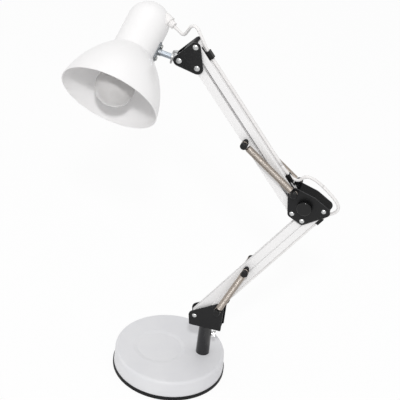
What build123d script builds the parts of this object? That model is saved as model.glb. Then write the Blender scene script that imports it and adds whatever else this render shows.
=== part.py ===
from build123d import *
from math import asin, atan2, cos, pi, radians, sin, sqrt
import os

# Swing arm desk lamp. Millimetres, +Z up, origin at the centre of the base underside.
# The arm is drawn in its own plane: u along the arm, y across it (plus is away from the
# viewer), z up, with the axis of the post as origin. ARM puts that plane on the base.

# Fits
RUNNING_FIT = 0.05
SIDE_PLAY = 0.15
SEAT_GAP = 0.3

# Base
BASE_RADIUS = 95.0
BASE_HEIGHT = 36.0
RIM_HEIGHT = 7.0
RIM_LIP = 1.2
RIM_WIDTH = 7.0
PAD_THICK = 2.0
PAD_GAP = 0.5
SHELL_WALL = 1.2
SHELL_TAPER = 2.6
SHELL_EDGE = 5.0
RECESS_X = -18.5
RECESS_RADIUS = 44.0
RECESS_SLOPE = 7.0
RECESS_DEPTH = 1.5
WEIGHT_GAP = 2.0
WEIGHT_THICK = 9.0

# Post on the base, with the bush for the swivel
POST_INSET = 39.6
POST_TOP = 94.0
POST_FOOT_RADIUS = 11.5
POST_HEAD_RADIUS = 10.8
POST_BOLT_RADIUS = 4.0
POST_BOLT_HEAD = 7.0
POST_BOLT_HEAD_THICK = 5.0
POST_BOLT_GRIP = 14.0
POST_SPACER_RADIUS = 9.0
BUSH_RADIUS = 7.5
BUSH_LENGTH = 38.0
BUSH_FLANGE_RADIUS = 10.0
BUSH_FLANGE = 1.2
SWIVEL_RADIUS = 5.0
SWIVEL_HEAD_RADIUS = 8.0
SWIVEL_HEAD = 2.5
THUMB_Z = 75.8
THUMB_SHANK = 2.0
THUMB_RADIUS = 5.2
THUMB_HEAD = 5.0
THUMB_REACH = 13.0
THUMB_GROOVES = 18
THUMB_GROOVE = 0.45

# Arm plane and linkage: two parallelograms
ARM_AZIMUTH = 11.7
BAR_LENGTH = 274.0
LOWER_ANGLE = 56.6
UPPER_ANGLE = 129.4
LOWER_FRONT_FOOT = (-18.9, 115.1)
LOWER_LINK = (30.8, 25.3)
ELBOW_LINK = (-17.1, 9.4)
UPPER_LINK = (-5.5, 33.5)
TILT_LINK = (-28.6, 6.6)

# Bars
BAR_WALL = 1.2
BAR_BEND = 1.0
FRONT_DEPTH = 14.0
FRONT_WIDTH = 13.0
REAR_DEPTH = 11.0
REAR_WIDTH = 17.0

# Bracket plates and the pins in them
PLATE_INNER = 10.5
PLATE_THICK = 1.5
PIN_RADIUS = 2.5
SLEEVE_RADIUS = 4.0
RIVET_HEAD = 4.0
RIVET_DOME = 2.0
HEAD_RIVET = 4.6
BRACKET_CORNER = 2.0
BRACKET_LEFT = -24.5
BRACKET_RIGHT = 26.0
BRACKET_FRONT_EAR = 10.0
BRACKET_REAR_EAR = 9.0
ELBOW_BULGE_SHIFT = (11.1, 38.4)
ELBOW_BULGE_EAR = 8.5
ELBOW_CORNER_SHIFT = (1.6, -0.6)
ELBOW_CORNER_EAR = 8.6
ELBOW_EAR = 7.0
ELBOW_TOP_EAR = 6.5
ELBOW_REAR_EAR = 5.5
COVER_THICK = 1.5
COVER_SHIFT = (-10.9, 28.2)
COVER_SIZE = (70.0, 40.0)
HEAD_TOP_EAR = 8.0
HEAD_TILT_EAR = 8.8
HEAD_BASE_EAR = 9.5
HEAD_WEB_SHIFT = (-17.0, -8.0)
HEAD_WEB_SIZE = (18.4, 24.0)

# Elbow knob
KNOB_SHIFT = (1.1, 27.2)
KNOB_RADIUS = 12.0
KNOB_NECK_RADIUS = 8.0
KNOB_NECK = 2.0
KNOB_THICK = 7.0
KNOB_EDGE = 2.5
KNOB_RIBS = 24
KNOB_RIB = 0.7
KNOB_BOLT_RADIUS = 3.0
KNOB_BOLT_HEAD = 5.0
KNOB_BOLT_HEAD_THICK = 2.5
KNOB_SLEEVE_RADIUS = 5.5

# Springs and the pegs they hang on
LOWER_SPRING_SHIFT = (7.8, -0.3)
UPPER_SPRING_SHIFT = (5.0, 6.6)
SPRING_PIN_REACH = 137.0
SPRING_Y = 18.0
SPRING_RADIUS = 5.5
SPRING_WIRE = 2.2
SPRING_CURLS = 24
SPRING_LEG = 6.0
SPRING_LEAD_IN = 5.0
SPRING_STEP = 1.5
PEG_COLLAR = 5.0
PEG_COLLAR_TOP = 14.2
PEG_NECK = 3.2
PEG_NECK_TOP = 20.5
PEG_BALL = 5.6
PEG_END = 26.5
PEG_ROOT = 3.8
PEG_ROOT_TOP = 11.0
SPRING_PIN_END = 23.0

# Head: tilt knuckle, stem, saddle
STEM_Y = -7.0
STEM_RISE = 9.2
STEM_REACH = 68.1
STEM_RADIUS = 4.5
KNUCKLE_RADIUS = 8.0
KNUCKLE_THICK = 6.7
KNUCKLE_ARM = 9.8
STUD_RADIUS = 2.4
STUD_END = 32.0
LOCK_NUT_THICK = 3.0
LOCK_NUT_RADIUS = 5.5
WING_SPAN = 11.0
WING_THICK = 2.6
TILT_BOLT_RADIUS = 3.0
TILT_NUT_SPAN = 15.0
TILT_NUT_RADIUS = 6.0
TILT_NUT_THICK = 7.0
TILT_BOLT_END = 22.0
SADDLE_THICK = 2.0
SADDLE_WIDTH = 16.0
SADDLE_HEIGHT = 28.0
SADDLE_RISE = 2.5
SADDLE_BOSS = 5.3
SADDLE_BOSS_HEIGHT = 6.0
SADDLE_SCREW_PITCH = 21.4
SADDLE_SCREW_RADIUS = 1.8
SADDLE_SCREW_HEAD = 3.3
SADDLE_SCREW_HEAD_THICK = 2.2

# Head: shade, measured from the plane of its mouth
HEAD_SWIVEL = 56.4
HEAD_LEAN = 7.6
MOUTH_RADIUS = 76.6
BELL_HEIGHT = 83.5
BELL_BULGE = 7.9
NECK_FILLET = 4.0
NECK_RADIUS = 32.8
DOME_HEIGHT = 140.0
SHADE_WALL = 1.2

# Head: lampholder and bulb
HOLDER_RADIUS = 19.0
HOLDER_FOOT = 66.0
HOLDER_TOP = 112.0
HOLDER_BORE = 14.6
HOLDER_BORE_TOP = 104.0
HOLDER_SHELL_WALL = 0.7
HOLDER_SHELL_FOOT = 68.0
HOLDER_SHELL_TOP = 100.0
NIPPLE_RADIUS = 5.0
NIPPLE_TOP = 121.0
HOLDER_STRIP_WALL = 1.5
HOLDER_STRIP_WIDTH = 14.0
HOLDER_STRIP_FOOT = 84.0
HOLDER_STRIP_LEVEL = 112.0
HOLDER_TONGUE_RADIUS = 11.0
CONTACT_RADIUS = 5.0
CONTACT_THICK = 1.5
BULB_RADIUS = 30.0
BULB_CENTRE = 21.5
BULB_SHOULDER = 40.0
BULB_NECK = 13.2
BULB_NECK_TOP = 62.0
BULB_WALL = 0.8
CAP_RADIUS = 13.5
CAP_TOP = 86.0
CAP_TIP_RADIUS = 4.5
CAP_TIP_TOP = 90.0

# Lead and what holds it
LEAD_RADIUS = 2.5
GLAND_AZIMUTH = -22.8
GLAND_RISE = 9.4
GLAND_FLANGE_RADIUS = 8.5
GLAND_FLANGE = 4.0
GLAND_SLEEVE_RADIUS = 5.5
GLAND_END = 12.0
CLIP_LENGTH = 23.0
CLIP_START = 6.0
LOWEST_CLIP_START = 0.0
CLIP_WIDTH = 13.0
CLIP_THICK = 0.8
CLIP_BLOCK_LENGTH = 13.0
CLIP_BLOCK_WIDTH = 9.0
CLIP_BLOCK_HEIGHT = 6.6
LEAD_END = 11.0
LEAD_VALLEY_SHIFT = (-22.4, 14.0, 2.0)
LEAD_ARCH_SHIFT = (-9.9, 5.0, 29.5)
LEAD_FALL = 0.6
LEAD_HEAD_JOIN = 3.0
LEAD_HEAD_RADII = (9.0, 8.0, 25.0)
LEAD_ELBOW_LEAVE = 8.0
LEAD_ELBOW_CLIP = 46.0
LEAD_OVER_SHIFT = (19.7, 38.3)
LEAD_SIDE_SHIFT = (17.3, 17.9)
LEAD_TURN_SHIFT = (22.3, -1.1)
LEAD_ELBOW_JOIN = 11.0
LEAD_ELBOW_RADII = (7.0, 12.0, 15.0, 12.0, 20.0)

# Derived places in the arm plane (u, z)


def shift(point, by):
    """Point moved by a vector, both as (u, z)."""
    return (point[0] + by[0], point[1] + by[1])


def along(point, angle, reach, back=0.0):
    """Point reached along a bar at an angle, and square to it towards its back."""
    c, s = cos(radians(angle)), sin(radians(angle))
    return (point[0] + reach * c + back * s, point[1] + reach * s - back * c)


LOWER_REAR_FOOT = shift(LOWER_FRONT_FOOT, LOWER_LINK)
LOWER_FRONT_TOP = along(LOWER_FRONT_FOOT, LOWER_ANGLE, BAR_LENGTH)
LOWER_REAR_TOP = along(LOWER_REAR_FOOT, LOWER_ANGLE, BAR_LENGTH)
UPPER_FRONT_FOOT = shift(LOWER_FRONT_TOP, ELBOW_LINK)
UPPER_REAR_FOOT = shift(UPPER_FRONT_FOOT, UPPER_LINK)
UPPER_FRONT_TOP = along(UPPER_FRONT_FOOT, UPPER_ANGLE, BAR_LENGTH)
UPPER_REAR_TOP = along(UPPER_REAR_FOOT, UPPER_ANGLE, BAR_LENGTH)
TILT = shift(UPPER_FRONT_TOP, TILT_LINK)
LOWER_SPRING_PIN = along(LOWER_FRONT_FOOT, LOWER_ANGLE, SPRING_PIN_REACH)
UPPER_SPRING_PIN = along(UPPER_FRONT_FOOT, UPPER_ANGLE, SPRING_PIN_REACH)
LOWER_SPRING_FOOT = shift(LOWER_REAR_FOOT, LOWER_SPRING_SHIFT)
UPPER_SPRING_FOOT = shift(UPPER_REAR_FOOT, UPPER_SPRING_SHIFT)
ELBOW_BULGE = shift(LOWER_FRONT_TOP, ELBOW_BULGE_SHIFT)
ELBOW_CORNER = shift(LOWER_REAR_TOP, ELBOW_CORNER_SHIFT)
COVER_START = shift(LOWER_FRONT_TOP, COVER_SHIFT)
KNOB_CENTRE = shift(LOWER_FRONT_TOP, KNOB_SHIFT)
HEAD_WEB_START = shift(UPPER_REAR_TOP, HEAD_WEB_SHIFT)
LEAD_ELBOW_TOP = shift(UPPER_REAR_FOOT, LEAD_OVER_SHIFT)
LEAD_ELBOW_SIDE = shift(LOWER_REAR_TOP, LEAD_SIDE_SHIFT)
LEAD_ELBOW_TURN = shift(LOWER_REAR_TOP, LEAD_TURN_SHIFT)
HEAD_TOP = Vector(UPPER_REAR_TOP[0], 0, UPPER_REAR_TOP[1])
LEAD_VALLEY = HEAD_TOP + Vector(*LEAD_VALLEY_SHIFT)
LEAD_ARCH = HEAD_TOP + Vector(*LEAD_ARCH_SHIFT)

PLATE_OUTER = PLATE_INNER + PLATE_THICK
POST_X = BASE_RADIUS - POST_INSET
BRACKET_FOOT = POST_TOP + BUSH_FLANGE + SEAT_GAP
SHELL_FOOT_RADIUS = BASE_RADIUS - RIM_LIP
SHELL_TOP_RADIUS = BASE_RADIUS - SHELL_TAPER
PAD_RADIUS = BASE_RADIUS - RIM_WIDTH - PAD_GAP
WEIGHT_RADIUS = BASE_RADIUS - RIM_WIDTH - WEIGHT_GAP
STEM_HEIGHT = BELL_HEIGHT + SADDLE_RISE + SADDLE_HEIGHT / 2
GLAND_HEIGHT = DOME_HEIGHT + GLAND_RISE
LEAD_BACK = REAR_DEPTH / 2 + LEAD_RADIUS + SEAT_GAP
LEAD_FOOT = LOWEST_CLIP_START + CLIP_LENGTH - LEAD_END
ARM = Location((POST_X, 0, 0), (0, 0, -ARM_AZIMUTH))

# Frame of the stem (along its axis, away from the knuckle) and of the head (from the mouth)
STEM_DIR = Vector(-cos(radians(STEM_RISE)), 0, sin(radians(STEM_RISE)))
TILT_POINT = Vector(TILT[0], STEM_Y, TILT[1])
HEAD_DIR = Vector(
    sin(radians(HEAD_LEAN)),
    cos(radians(HEAD_LEAN)) * sin(radians(HEAD_SWIVEL)),
    cos(radians(HEAD_LEAN)) * cos(radians(HEAD_SWIVEL)),
)
STEM_MEET = TILT_POINT + STEM_DIR * STEM_REACH
HEAD = Plane(origin=STEM_MEET - HEAD_DIR * STEM_HEIGHT, x_dir=-STEM_DIR, z_dir=HEAD_DIR)
STEM = Plane(origin=TILT_POINT, x_dir=(0, 1, 0), z_dir=STEM_DIR)


# Small makers


def slab(sketch, y_low, y_high):
    """Solid from a sketch in (u, z), between two places across the arm."""
    return extrude(Plane.XZ.offset(-y_high) * sketch, amount=y_high - y_low)


def pin(centre, radius, y_low, y_high):
    """Round bar across the arm."""
    return slab(Pos(*centre) * Circle(radius), y_low, y_high)


def both_sides(solid):
    """A solid and its mirror image on the other side of the arm."""
    return [solid, mirror(solid, about=Plane.XZ)]


def ring(outer, inner, z_low, z_high):
    """Tube about Z."""
    section = Circle(outer) - Circle(inner)
    return extrude(Plane.XY.offset(z_low) * section, amount=z_high - z_low)


def rod(radius, z_low, z_high):
    """Round bar about Z."""
    return extrude(Plane.XY.offset(z_low) * Circle(radius), amount=z_high - z_low)


def turned(points):
    """Solid turned about Z from an outline of (radius, z) points."""
    return revolve(Plane.XZ * make_face(Polyline(*points, close=True)), axis=Axis.Z)


def ears(*circles):
    """Plate outline: the band round a few circles given as (centre, radius)."""
    edges = [(Pos(*centre) * Circle(radius)).edge() for centre, radius in circles]
    return make_hull(edges)


def tube(path, radius):
    """Round tube along a path."""
    return sweep(Plane(origin=path @ 0, z_dir=path % 0) * Circle(radius), path=path)


def domed_head(centre, radius, y_face):
    """Low domed rivet head standing on a face towards the viewer (minus y)."""
    ball = (radius**2 + RIVET_DOME**2) / (2 * RIVET_DOME)
    half = asin(radius / ball) / 2
    side = (ball * sin(half), ball * cos(half) - ball + RIVET_DOME)
    outline = [
        Line((0, 0), (radius, 0)),
        ThreePointArc((radius, 0), side, (0, RIVET_DOME)),
        Line((0, RIVET_DOME), (0, 0)),
    ]
    dome = revolve(Plane.XZ * make_face(outline), axis=Axis.Z)
    return Location((centre[0], y_face, centre[1]), (90, 0, 0)) * dome


def rivet(centre, head):
    """Rivet through both plates, with a domed head at each side."""
    shank = pin(centre, PIN_RADIUS, -PLATE_OUTER, PLATE_OUTER)
    near, far = both_sides(domed_head(centre, head, -PLATE_OUTER))
    return shank + near + far


def sleeves(centre, half_width):
    """Spacer sleeves between a bar and the plates at both sides."""
    y_bar = half_width + SIDE_PLAY
    solid = pin(centre, SLEEVE_RADIUS, y_bar, PLATE_INNER)
    return both_sides(solid - pin(centre, PIN_RADIUS, y_bar, PLATE_INNER))


def plates(outline, holes):
    """Near and far plate of one outline, with holes as (centre, radius)."""
    solid = slab(outline, -PLATE_OUTER, -PLATE_INNER)
    for centre, radius in holes:
        solid -= pin(centre, radius, -PLATE_OUTER, -PLATE_INNER)
    return both_sides(solid)


def save(name, solids, place=ARM):
    """Write one node, put in place on the base."""
    shapes = solids if isinstance(solids, list) else [solids]
    bodies = [body for shape in shapes for body in shape.solids()]
    export_step(Compound(children=[place * body for body in bodies]), f"parts/{name}.step")


# Base


def shell_radius(z):
    """Outer radius of the sloping shell side at a height."""
    share = (z - PAD_THICK) / (BASE_HEIGHT - PAD_THICK)
    return SHELL_FOOT_RADIUS + (SHELL_TOP_RADIUS - SHELL_FOOT_RADIUS) * share


def shell_block(inset):
    """Solid form of the shell, or of the space in it when inset by the wall."""
    top = BASE_HEIGHT - inset
    foot = SHELL_FOOT_RADIUS - inset
    outline = [(0, PAD_THICK), (foot, PAD_THICK), (SHELL_TOP_RADIUS - inset, top), (0, top)]
    block = turned(outline)
    return fillet(block.edges().group_by(Axis.Z)[-1], SHELL_EDGE - inset)


def recess(z_top):
    """Shallow round recess cut from a top face."""
    low = RECESS_RADIUS - RECESS_SLOPE
    cut = Cone(low, RECESS_RADIUS, RECESS_DEPTH, align=(Align.CENTER, Align.CENTER, Align.MAX))
    return Pos(RECESS_X, 0, z_top) * cut


def base_shell():
    """Pressed steel shell with the recess sunk through its whole wall."""
    hollow = shell_block(SHELL_WALL) - recess(BASE_HEIGHT - SHELL_WALL)
    hole = Pos(POST_X, 0) * rod(POST_BOLT_RADIUS, PAD_THICK, BASE_HEIGHT)
    return shell_block(0) - recess(BASE_HEIGHT) - hollow - hole


def base_rim():
    """Rubber rim that the foot of the shell stands in."""
    inner = BASE_RADIUS - RIM_WIDTH
    edge = RIM_LIP / 2
    outline = [
        (inner, 0),
        (BASE_RADIUS - edge, 0),
        (BASE_RADIUS, edge),
        (BASE_RADIUS, RIM_HEIGHT - edge),
        (BASE_RADIUS - edge, RIM_HEIGHT),
        (shell_radius(RIM_HEIGHT), RIM_HEIGHT),
        (SHELL_FOOT_RADIUS, PAD_THICK),
        (inner, PAD_THICK),
    ]
    return turned(outline)


def base_weight():
    """Cast ballast disc, counterbored for the head of the post bolt."""
    top = PAD_THICK + WEIGHT_THICK
    disc = rod(WEIGHT_RADIUS, PAD_THICK, top)
    bore = rod(POST_BOLT_RADIUS, PAD_THICK, top)
    seat = rod(POST_BOLT_HEAD + SEAT_GAP, PAD_THICK, PAD_THICK + POST_BOLT_HEAD_THICK)
    return disc - Pos(POST_X, 0) * (bore + seat)


def post_bolt():
    """Bolt from under the ballast into the post."""
    seat = PAD_THICK + POST_BOLT_HEAD_THICK
    head = rod(POST_BOLT_HEAD, PAD_THICK + SEAT_GAP, seat)
    return head + rod(POST_BOLT_RADIUS, seat, BASE_HEIGHT + POST_BOLT_GRIP)


def post_spacer():
    """Tube that carries the post load from the shell to the ballast."""
    foot = PAD_THICK + WEIGHT_THICK
    return ring(POST_SPACER_RADIUS, POST_BOLT_RADIUS, foot, BASE_HEIGHT - SHELL_WALL)


def thumb_hole(radius):
    """Cross hole from the axis of the post towards +X."""
    bar = rod(radius, 0, POST_FOOT_RADIUS + SEAT_GAP)
    return Location((0, 0, THUMB_Z), (0, 90, 0)) * bar


def post():
    """Turned post, drilled for the bolt, the bush and the thumb screw."""
    solid = Pos(0, 0, BASE_HEIGHT) * Cone(
        POST_FOOT_RADIUS,
        POST_HEAD_RADIUS,
        POST_TOP - BASE_HEIGHT,
        align=(Align.CENTER, Align.CENTER, Align.MIN),
    )
    solid -= rod(POST_BOLT_RADIUS, BASE_HEIGHT, BASE_HEIGHT + POST_BOLT_GRIP)
    solid -= rod(BUSH_RADIUS, POST_TOP - BUSH_LENGTH, POST_TOP)
    return solid - thumb_hole(THUMB_SHANK + RUNNING_FIT)


def post_bush():
    """Flanged plain bush for the swivel."""
    bore = SWIVEL_RADIUS + RUNNING_FIT
    solid = ring(BUSH_RADIUS, bore, POST_TOP - BUSH_LENGTH, POST_TOP)
    solid += ring(BUSH_FLANGE_RADIUS, bore, POST_TOP, POST_TOP + BUSH_FLANGE)
    return solid - thumb_hole(THUMB_SHANK + SEAT_GAP)


def post_thumb_screw():
    """Knurled screw that clamps the swivel."""
    section = Circle(THUMB_RADIUS)
    section -= PolarLocations(THUMB_RADIUS, THUMB_GROOVES) * Circle(THUMB_GROOVE)
    head = extrude(Plane.XY.offset(THUMB_REACH) * section, amount=THUMB_HEAD)
    shank = rod(THUMB_SHANK, SWIVEL_RADIUS + 2 * SEAT_GAP, THUMB_REACH)
    return Location((0, 0, THUMB_Z), (0, 90, 0)) * (head + shank)


def make_base():
    """Base, post and thumb screw."""
    on_post = Pos(POST_X, 0)
    save("base_shell", base_shell(), Location())
    save("base_rim", base_rim(), Location())
    save("base_pad", rod(PAD_RADIUS, 0, PAD_THICK), Location())
    save("base_weight", base_weight(), Location())
    save("post_bolt", post_bolt(), on_post)
    save("post_spacer", post_spacer(), on_post)
    save("post", post(), on_post)
    save("post_bush", post_bush(), on_post)
    save("post_thumb_screw", post_thumb_screw(), on_post)


# Brackets


def peg(centre, root):
    """Black peg at the near side that a spring hooks on; root is where it starts."""
    collar = pin(centre, PEG_COLLAR, -PEG_COLLAR_TOP, -root)
    neck = pin(centre, PEG_NECK, -PEG_NECK_TOP, -PEG_COLLAR_TOP)
    ball = pin(centre, PEG_BALL, -PEG_END, -PEG_NECK_TOP)
    ball = fillet(ball.edges().group_by(Axis.Y)[0], PEG_BALL - PEG_NECK)
    return collar + neck + ball


def plate_pegs(centre):
    """Pegs riveted into both plates of a bracket."""
    stud = pin(centre, PIN_RADIUS, -PLATE_OUTER, -PLATE_INNER)
    return both_sides(peg(centre, PLATE_OUTER) + stud)


def lower_bracket():
    """U-shaped bracket that turns on the post."""
    foot = BRACKET_FOOT + BRACKET_CORNER
    outline = ears(
        (LOWER_FRONT_FOOT, BRACKET_FRONT_EAR),
        (LOWER_SPRING_FOOT, BRACKET_REAR_EAR),
        ((BRACKET_LEFT, foot), BRACKET_CORNER),
        ((BRACKET_RIGHT, foot), BRACKET_CORNER),
    )
    holes = [(LOWER_FRONT_FOOT, PIN_RADIUS), (LOWER_REAR_FOOT, PIN_RADIUS)]
    near, far = plates(outline, holes + [(LOWER_SPRING_FOOT, PIN_RADIUS)])
    length = BRACKET_RIGHT - BRACKET_LEFT
    web = Pos((BRACKET_LEFT + BRACKET_RIGHT) / 2, 0, BRACKET_FOOT) * Box(
        length, 2 * PLATE_OUTER, PLATE_THICK, align=(Align.CENTER, Align.CENTER, Align.MIN)
    )
    return near + far + web - rod(SWIVEL_RADIUS, BRACKET_FOOT, BRACKET_FOOT + PLATE_THICK)


def swivel_stem():
    """Stem riveted into the bracket, turning in the bush."""
    seat = BRACKET_FOOT + PLATE_THICK
    stem = rod(SWIVEL_RADIUS, POST_TOP - BUSH_LENGTH + SEAT_GAP, seat)
    return stem + rod(SWIVEL_HEAD_RADIUS, seat, seat + SWIVEL_HEAD)


def make_lower_bracket():
    """Bracket on the post with its stem, pivots and pegs."""
    save("lower_bracket", lower_bracket())
    save("swivel_stem", swivel_stem())
    save("lower_pivot_rivet", rivet(LOWER_FRONT_FOOT, RIVET_HEAD))
    save("lower_pivot_pin", pin(LOWER_REAR_FOOT, PIN_RADIUS, -PLATE_OUTER, PLATE_OUTER))
    front = sleeves(LOWER_FRONT_FOOT, FRONT_WIDTH / 2)
    save("lower_spacers", front + sleeves(LOWER_REAR_FOOT, REAR_WIDTH / 2))
    save("lower_bracket_pegs", plate_pegs(LOWER_SPRING_FOOT))


def elbow_outline():
    """Outline of the elbow plates."""
    return ears(
        (UPPER_SPRING_FOOT, ELBOW_TOP_EAR),
        (UPPER_REAR_FOOT, ELBOW_REAR_EAR),
        (UPPER_FRONT_FOOT, ELBOW_EAR),
        (LOWER_FRONT_TOP, ELBOW_TOP_EAR),
        (ELBOW_BULGE, ELBOW_BULGE_EAR),
        (ELBOW_CORNER, ELBOW_CORNER_EAR),
    )


def elbow_cover():
    """Strip between the elbow plates, along their upper edge."""
    outline = elbow_outline()
    band = outline - offset(outline, amount=-COVER_THICK)
    keep = Pos(*COVER_START) * Rectangle(*COVER_SIZE, align=(Align.MIN, Align.MIN))
    return slab(band & keep, -PLATE_INNER, PLATE_INNER)


def elbow_knob():
    """Ribbed tension knob at the near side of the elbow."""
    foot = PLATE_OUTER + SEAT_GAP
    step = foot + KNOB_NECK
    section = Circle(KNOB_RADIUS)
    section -= PolarLocations(KNOB_RADIUS, KNOB_RIBS) * Circle(KNOB_RIB)
    disc = slab(Pos(*KNOB_CENTRE) * section, -step - KNOB_THICK, -step)
    dome = pin(KNOB_CENTRE, KNOB_RADIUS, -step - KNOB_THICK, -step)
    dome = fillet(dome.edges().group_by(Axis.Y)[0], KNOB_EDGE)
    neck = pin(KNOB_CENTRE, KNOB_NECK_RADIUS, -step, -foot)
    bore = pin(KNOB_CENTRE, KNOB_BOLT_RADIUS + RUNNING_FIT, -step - KNOB_THICK / 2, -foot)
    return (disc & dome) + neck - bore


def elbow_bolt():
    """Bolt through the elbow that the knob turns on, with its sleeve."""
    end = PLATE_OUTER + SEAT_GAP + KNOB_NECK + KNOB_THICK / 2 - SEAT_GAP
    shank = pin(KNOB_CENTRE, KNOB_BOLT_RADIUS, -end, PLATE_OUTER)
    head_end = PLATE_OUTER + KNOB_BOLT_HEAD_THICK
    head = pin(KNOB_CENTRE, KNOB_BOLT_HEAD, PLATE_OUTER, head_end)
    return shank + head + pin(KNOB_CENTRE, KNOB_SLEEVE_RADIUS, -PLATE_INNER, PLATE_INNER)


def make_elbow():
    """Elbow plates, cover, pivots, pegs and knob."""
    rivets = [LOWER_FRONT_TOP, LOWER_REAR_TOP, UPPER_FRONT_FOOT]
    holes = [(centre, PIN_RADIUS) for centre in rivets + [UPPER_REAR_FOOT, UPPER_SPRING_FOOT]]
    save("elbow_plates", plates(elbow_outline(), holes + [(KNOB_CENTRE, KNOB_BOLT_RADIUS)]))
    save("elbow_cover", elbow_cover())
    save("elbow_rivets", [rivet(centre, RIVET_HEAD) for centre in rivets])
    save("elbow_pin", pin(UPPER_REAR_FOOT, PIN_RADIUS, -PLATE_OUTER, PLATE_OUTER))
    front = sleeves(LOWER_FRONT_TOP, FRONT_WIDTH / 2) + sleeves(UPPER_FRONT_FOOT, FRONT_WIDTH / 2)
    rear = sleeves(LOWER_REAR_TOP, REAR_WIDTH / 2) + sleeves(UPPER_REAR_FOOT, REAR_WIDTH / 2)
    save("elbow_spacers", front + rear)
    save("elbow_pegs", plate_pegs(UPPER_SPRING_FOOT))
    save("elbow_bolt", elbow_bolt())
    save("elbow_knob", elbow_knob())


# Bars


def bar(foot, angle, depth, width, holes):
    """U-shaped bar with round ends and its web at the back, with holes along it."""
    middle = BAR_LENGTH / 2
    solid = slab(Pos(middle, 0) * SlotCenterToCenter(BAR_LENGTH, depth), -width / 2, width / 2)
    outer = solid.edges().filter_by(Axis.X).group_by(Axis.Z)[0]
    solid = fillet(outer, BAR_BEND)
    half = width / 2 - BAR_WALL
    space = Pos(middle, BAR_WALL) * Rectangle(BAR_LENGTH + 2 * depth, depth)
    solid -= slab(space, -half, half)
    for reach in holes:
        solid -= pin((reach, 0), PIN_RADIUS + RUNNING_FIT, -width / 2, width / 2)
    return Location((foot[0], 0, foot[1]), (0, -angle, 0)) * solid


def bar_pegs(centre):
    """Pegs on the ends of the spring pin of a front bar."""
    root = pin(centre, PEG_ROOT, -PEG_ROOT_TOP, -FRONT_WIDTH / 2)
    bore = pin(centre, PIN_RADIUS, -SPRING_PIN_END, -FRONT_WIDTH / 2)
    return both_sides(peg(centre, PEG_ROOT_TOP) + root - bore)


def lead_clip(foot, angle, start, block_start, bore_start):
    """Clip on the back of a rear bar: a thin strip with a block that holds the lead."""
    back = REAR_DEPTH / 2
    strip = Pos(start, -back, 0) * Box(
        CLIP_LENGTH, CLIP_THICK, CLIP_WIDTH, align=(Align.MIN, Align.MAX, Align.CENTER)
    )
    block = Pos(block_start, -back, 0) * Box(
        CLIP_BLOCK_LENGTH, CLIP_BLOCK_HEIGHT, CLIP_BLOCK_WIDTH,
        align=(Align.MIN, Align.MAX, Align.CENTER),
    )
    block = fillet(block.edges().filter_by(Axis.X).group_by(Axis.Y)[0], CLIP_THICK)
    groove = Pos(start, -LEAD_BACK, 0) * Box(
        CLIP_LENGTH, 2 * LEAD_BACK, 2 * LEAD_RADIUS, align=(Align.MIN, Align.CENTER, Align.CENTER)
    )
    bore = Location((bore_start, -LEAD_BACK, 0), (0, 90, 0)) * rod(LEAD_RADIUS, 0, CLIP_LENGTH)
    clip = (strip - groove) + block - bore
    turned_up = Location((0, 0, 0), (90, 0, 0)) * clip
    return Location((foot[0], 0, foot[1]), (0, -angle, 0)) * turned_up


def make_arm(name, front_foot, rear_foot, angle, spring_pin, clip_start, lead_foot):
    """Front and rear bar of one arm with spring pin, pegs and lead clips."""
    ends = [0, BAR_LENGTH]
    front = bar(front_foot, angle, FRONT_DEPTH, FRONT_WIDTH, ends)
    front -= pin(spring_pin, PIN_RADIUS, -FRONT_WIDTH / 2, FRONT_WIDTH / 2)
    save(f"{name}_front_bar", front)
    save(f"{name}_rear_bar", bar(rear_foot, angle, REAR_DEPTH, REAR_WIDTH, ends))
    save(f"{name}_spring_pin", pin(spring_pin, PIN_RADIUS, -SPRING_PIN_END, SPRING_PIN_END))
    save(f"{name}_bar_pegs", bar_pegs(spring_pin))
    block_start = clip_start + CLIP_LENGTH - CLIP_BLOCK_LENGTH
    foot_clip = lead_clip(rear_foot, angle, clip_start, block_start, lead_foot)
    start = BAR_LENGTH - CLIP_START - CLIP_LENGTH
    top_clip = lead_clip(rear_foot, angle, start, start, start)
    save(f"{name}_lead_clips", [foot_clip, top_clip])


# Springs


def biarc(p0, t0, p1, t1):
    """Two arcs from one point and direction to another."""
    span = p1 - p0
    both = t0 + t1
    slack = 2 * (1 - t0.dot(t1))
    reach = span.dot(both)
    if slack < 1e-9:
        d = span.length**2 / (4 * span.dot(t1))
    else:
        d = (-reach + sqrt(reach**2 + slack * span.length**2)) / slack
    q0 = p0 + t0 * d
    q1 = p1 - t1 * d
    middle = (q0 + q1) * 0.5
    return [
        TangentArc(p0, middle, tangent=t0),
        TangentArc(middle, p1, tangent=(q1 - q0).normalized()),
    ]


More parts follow.
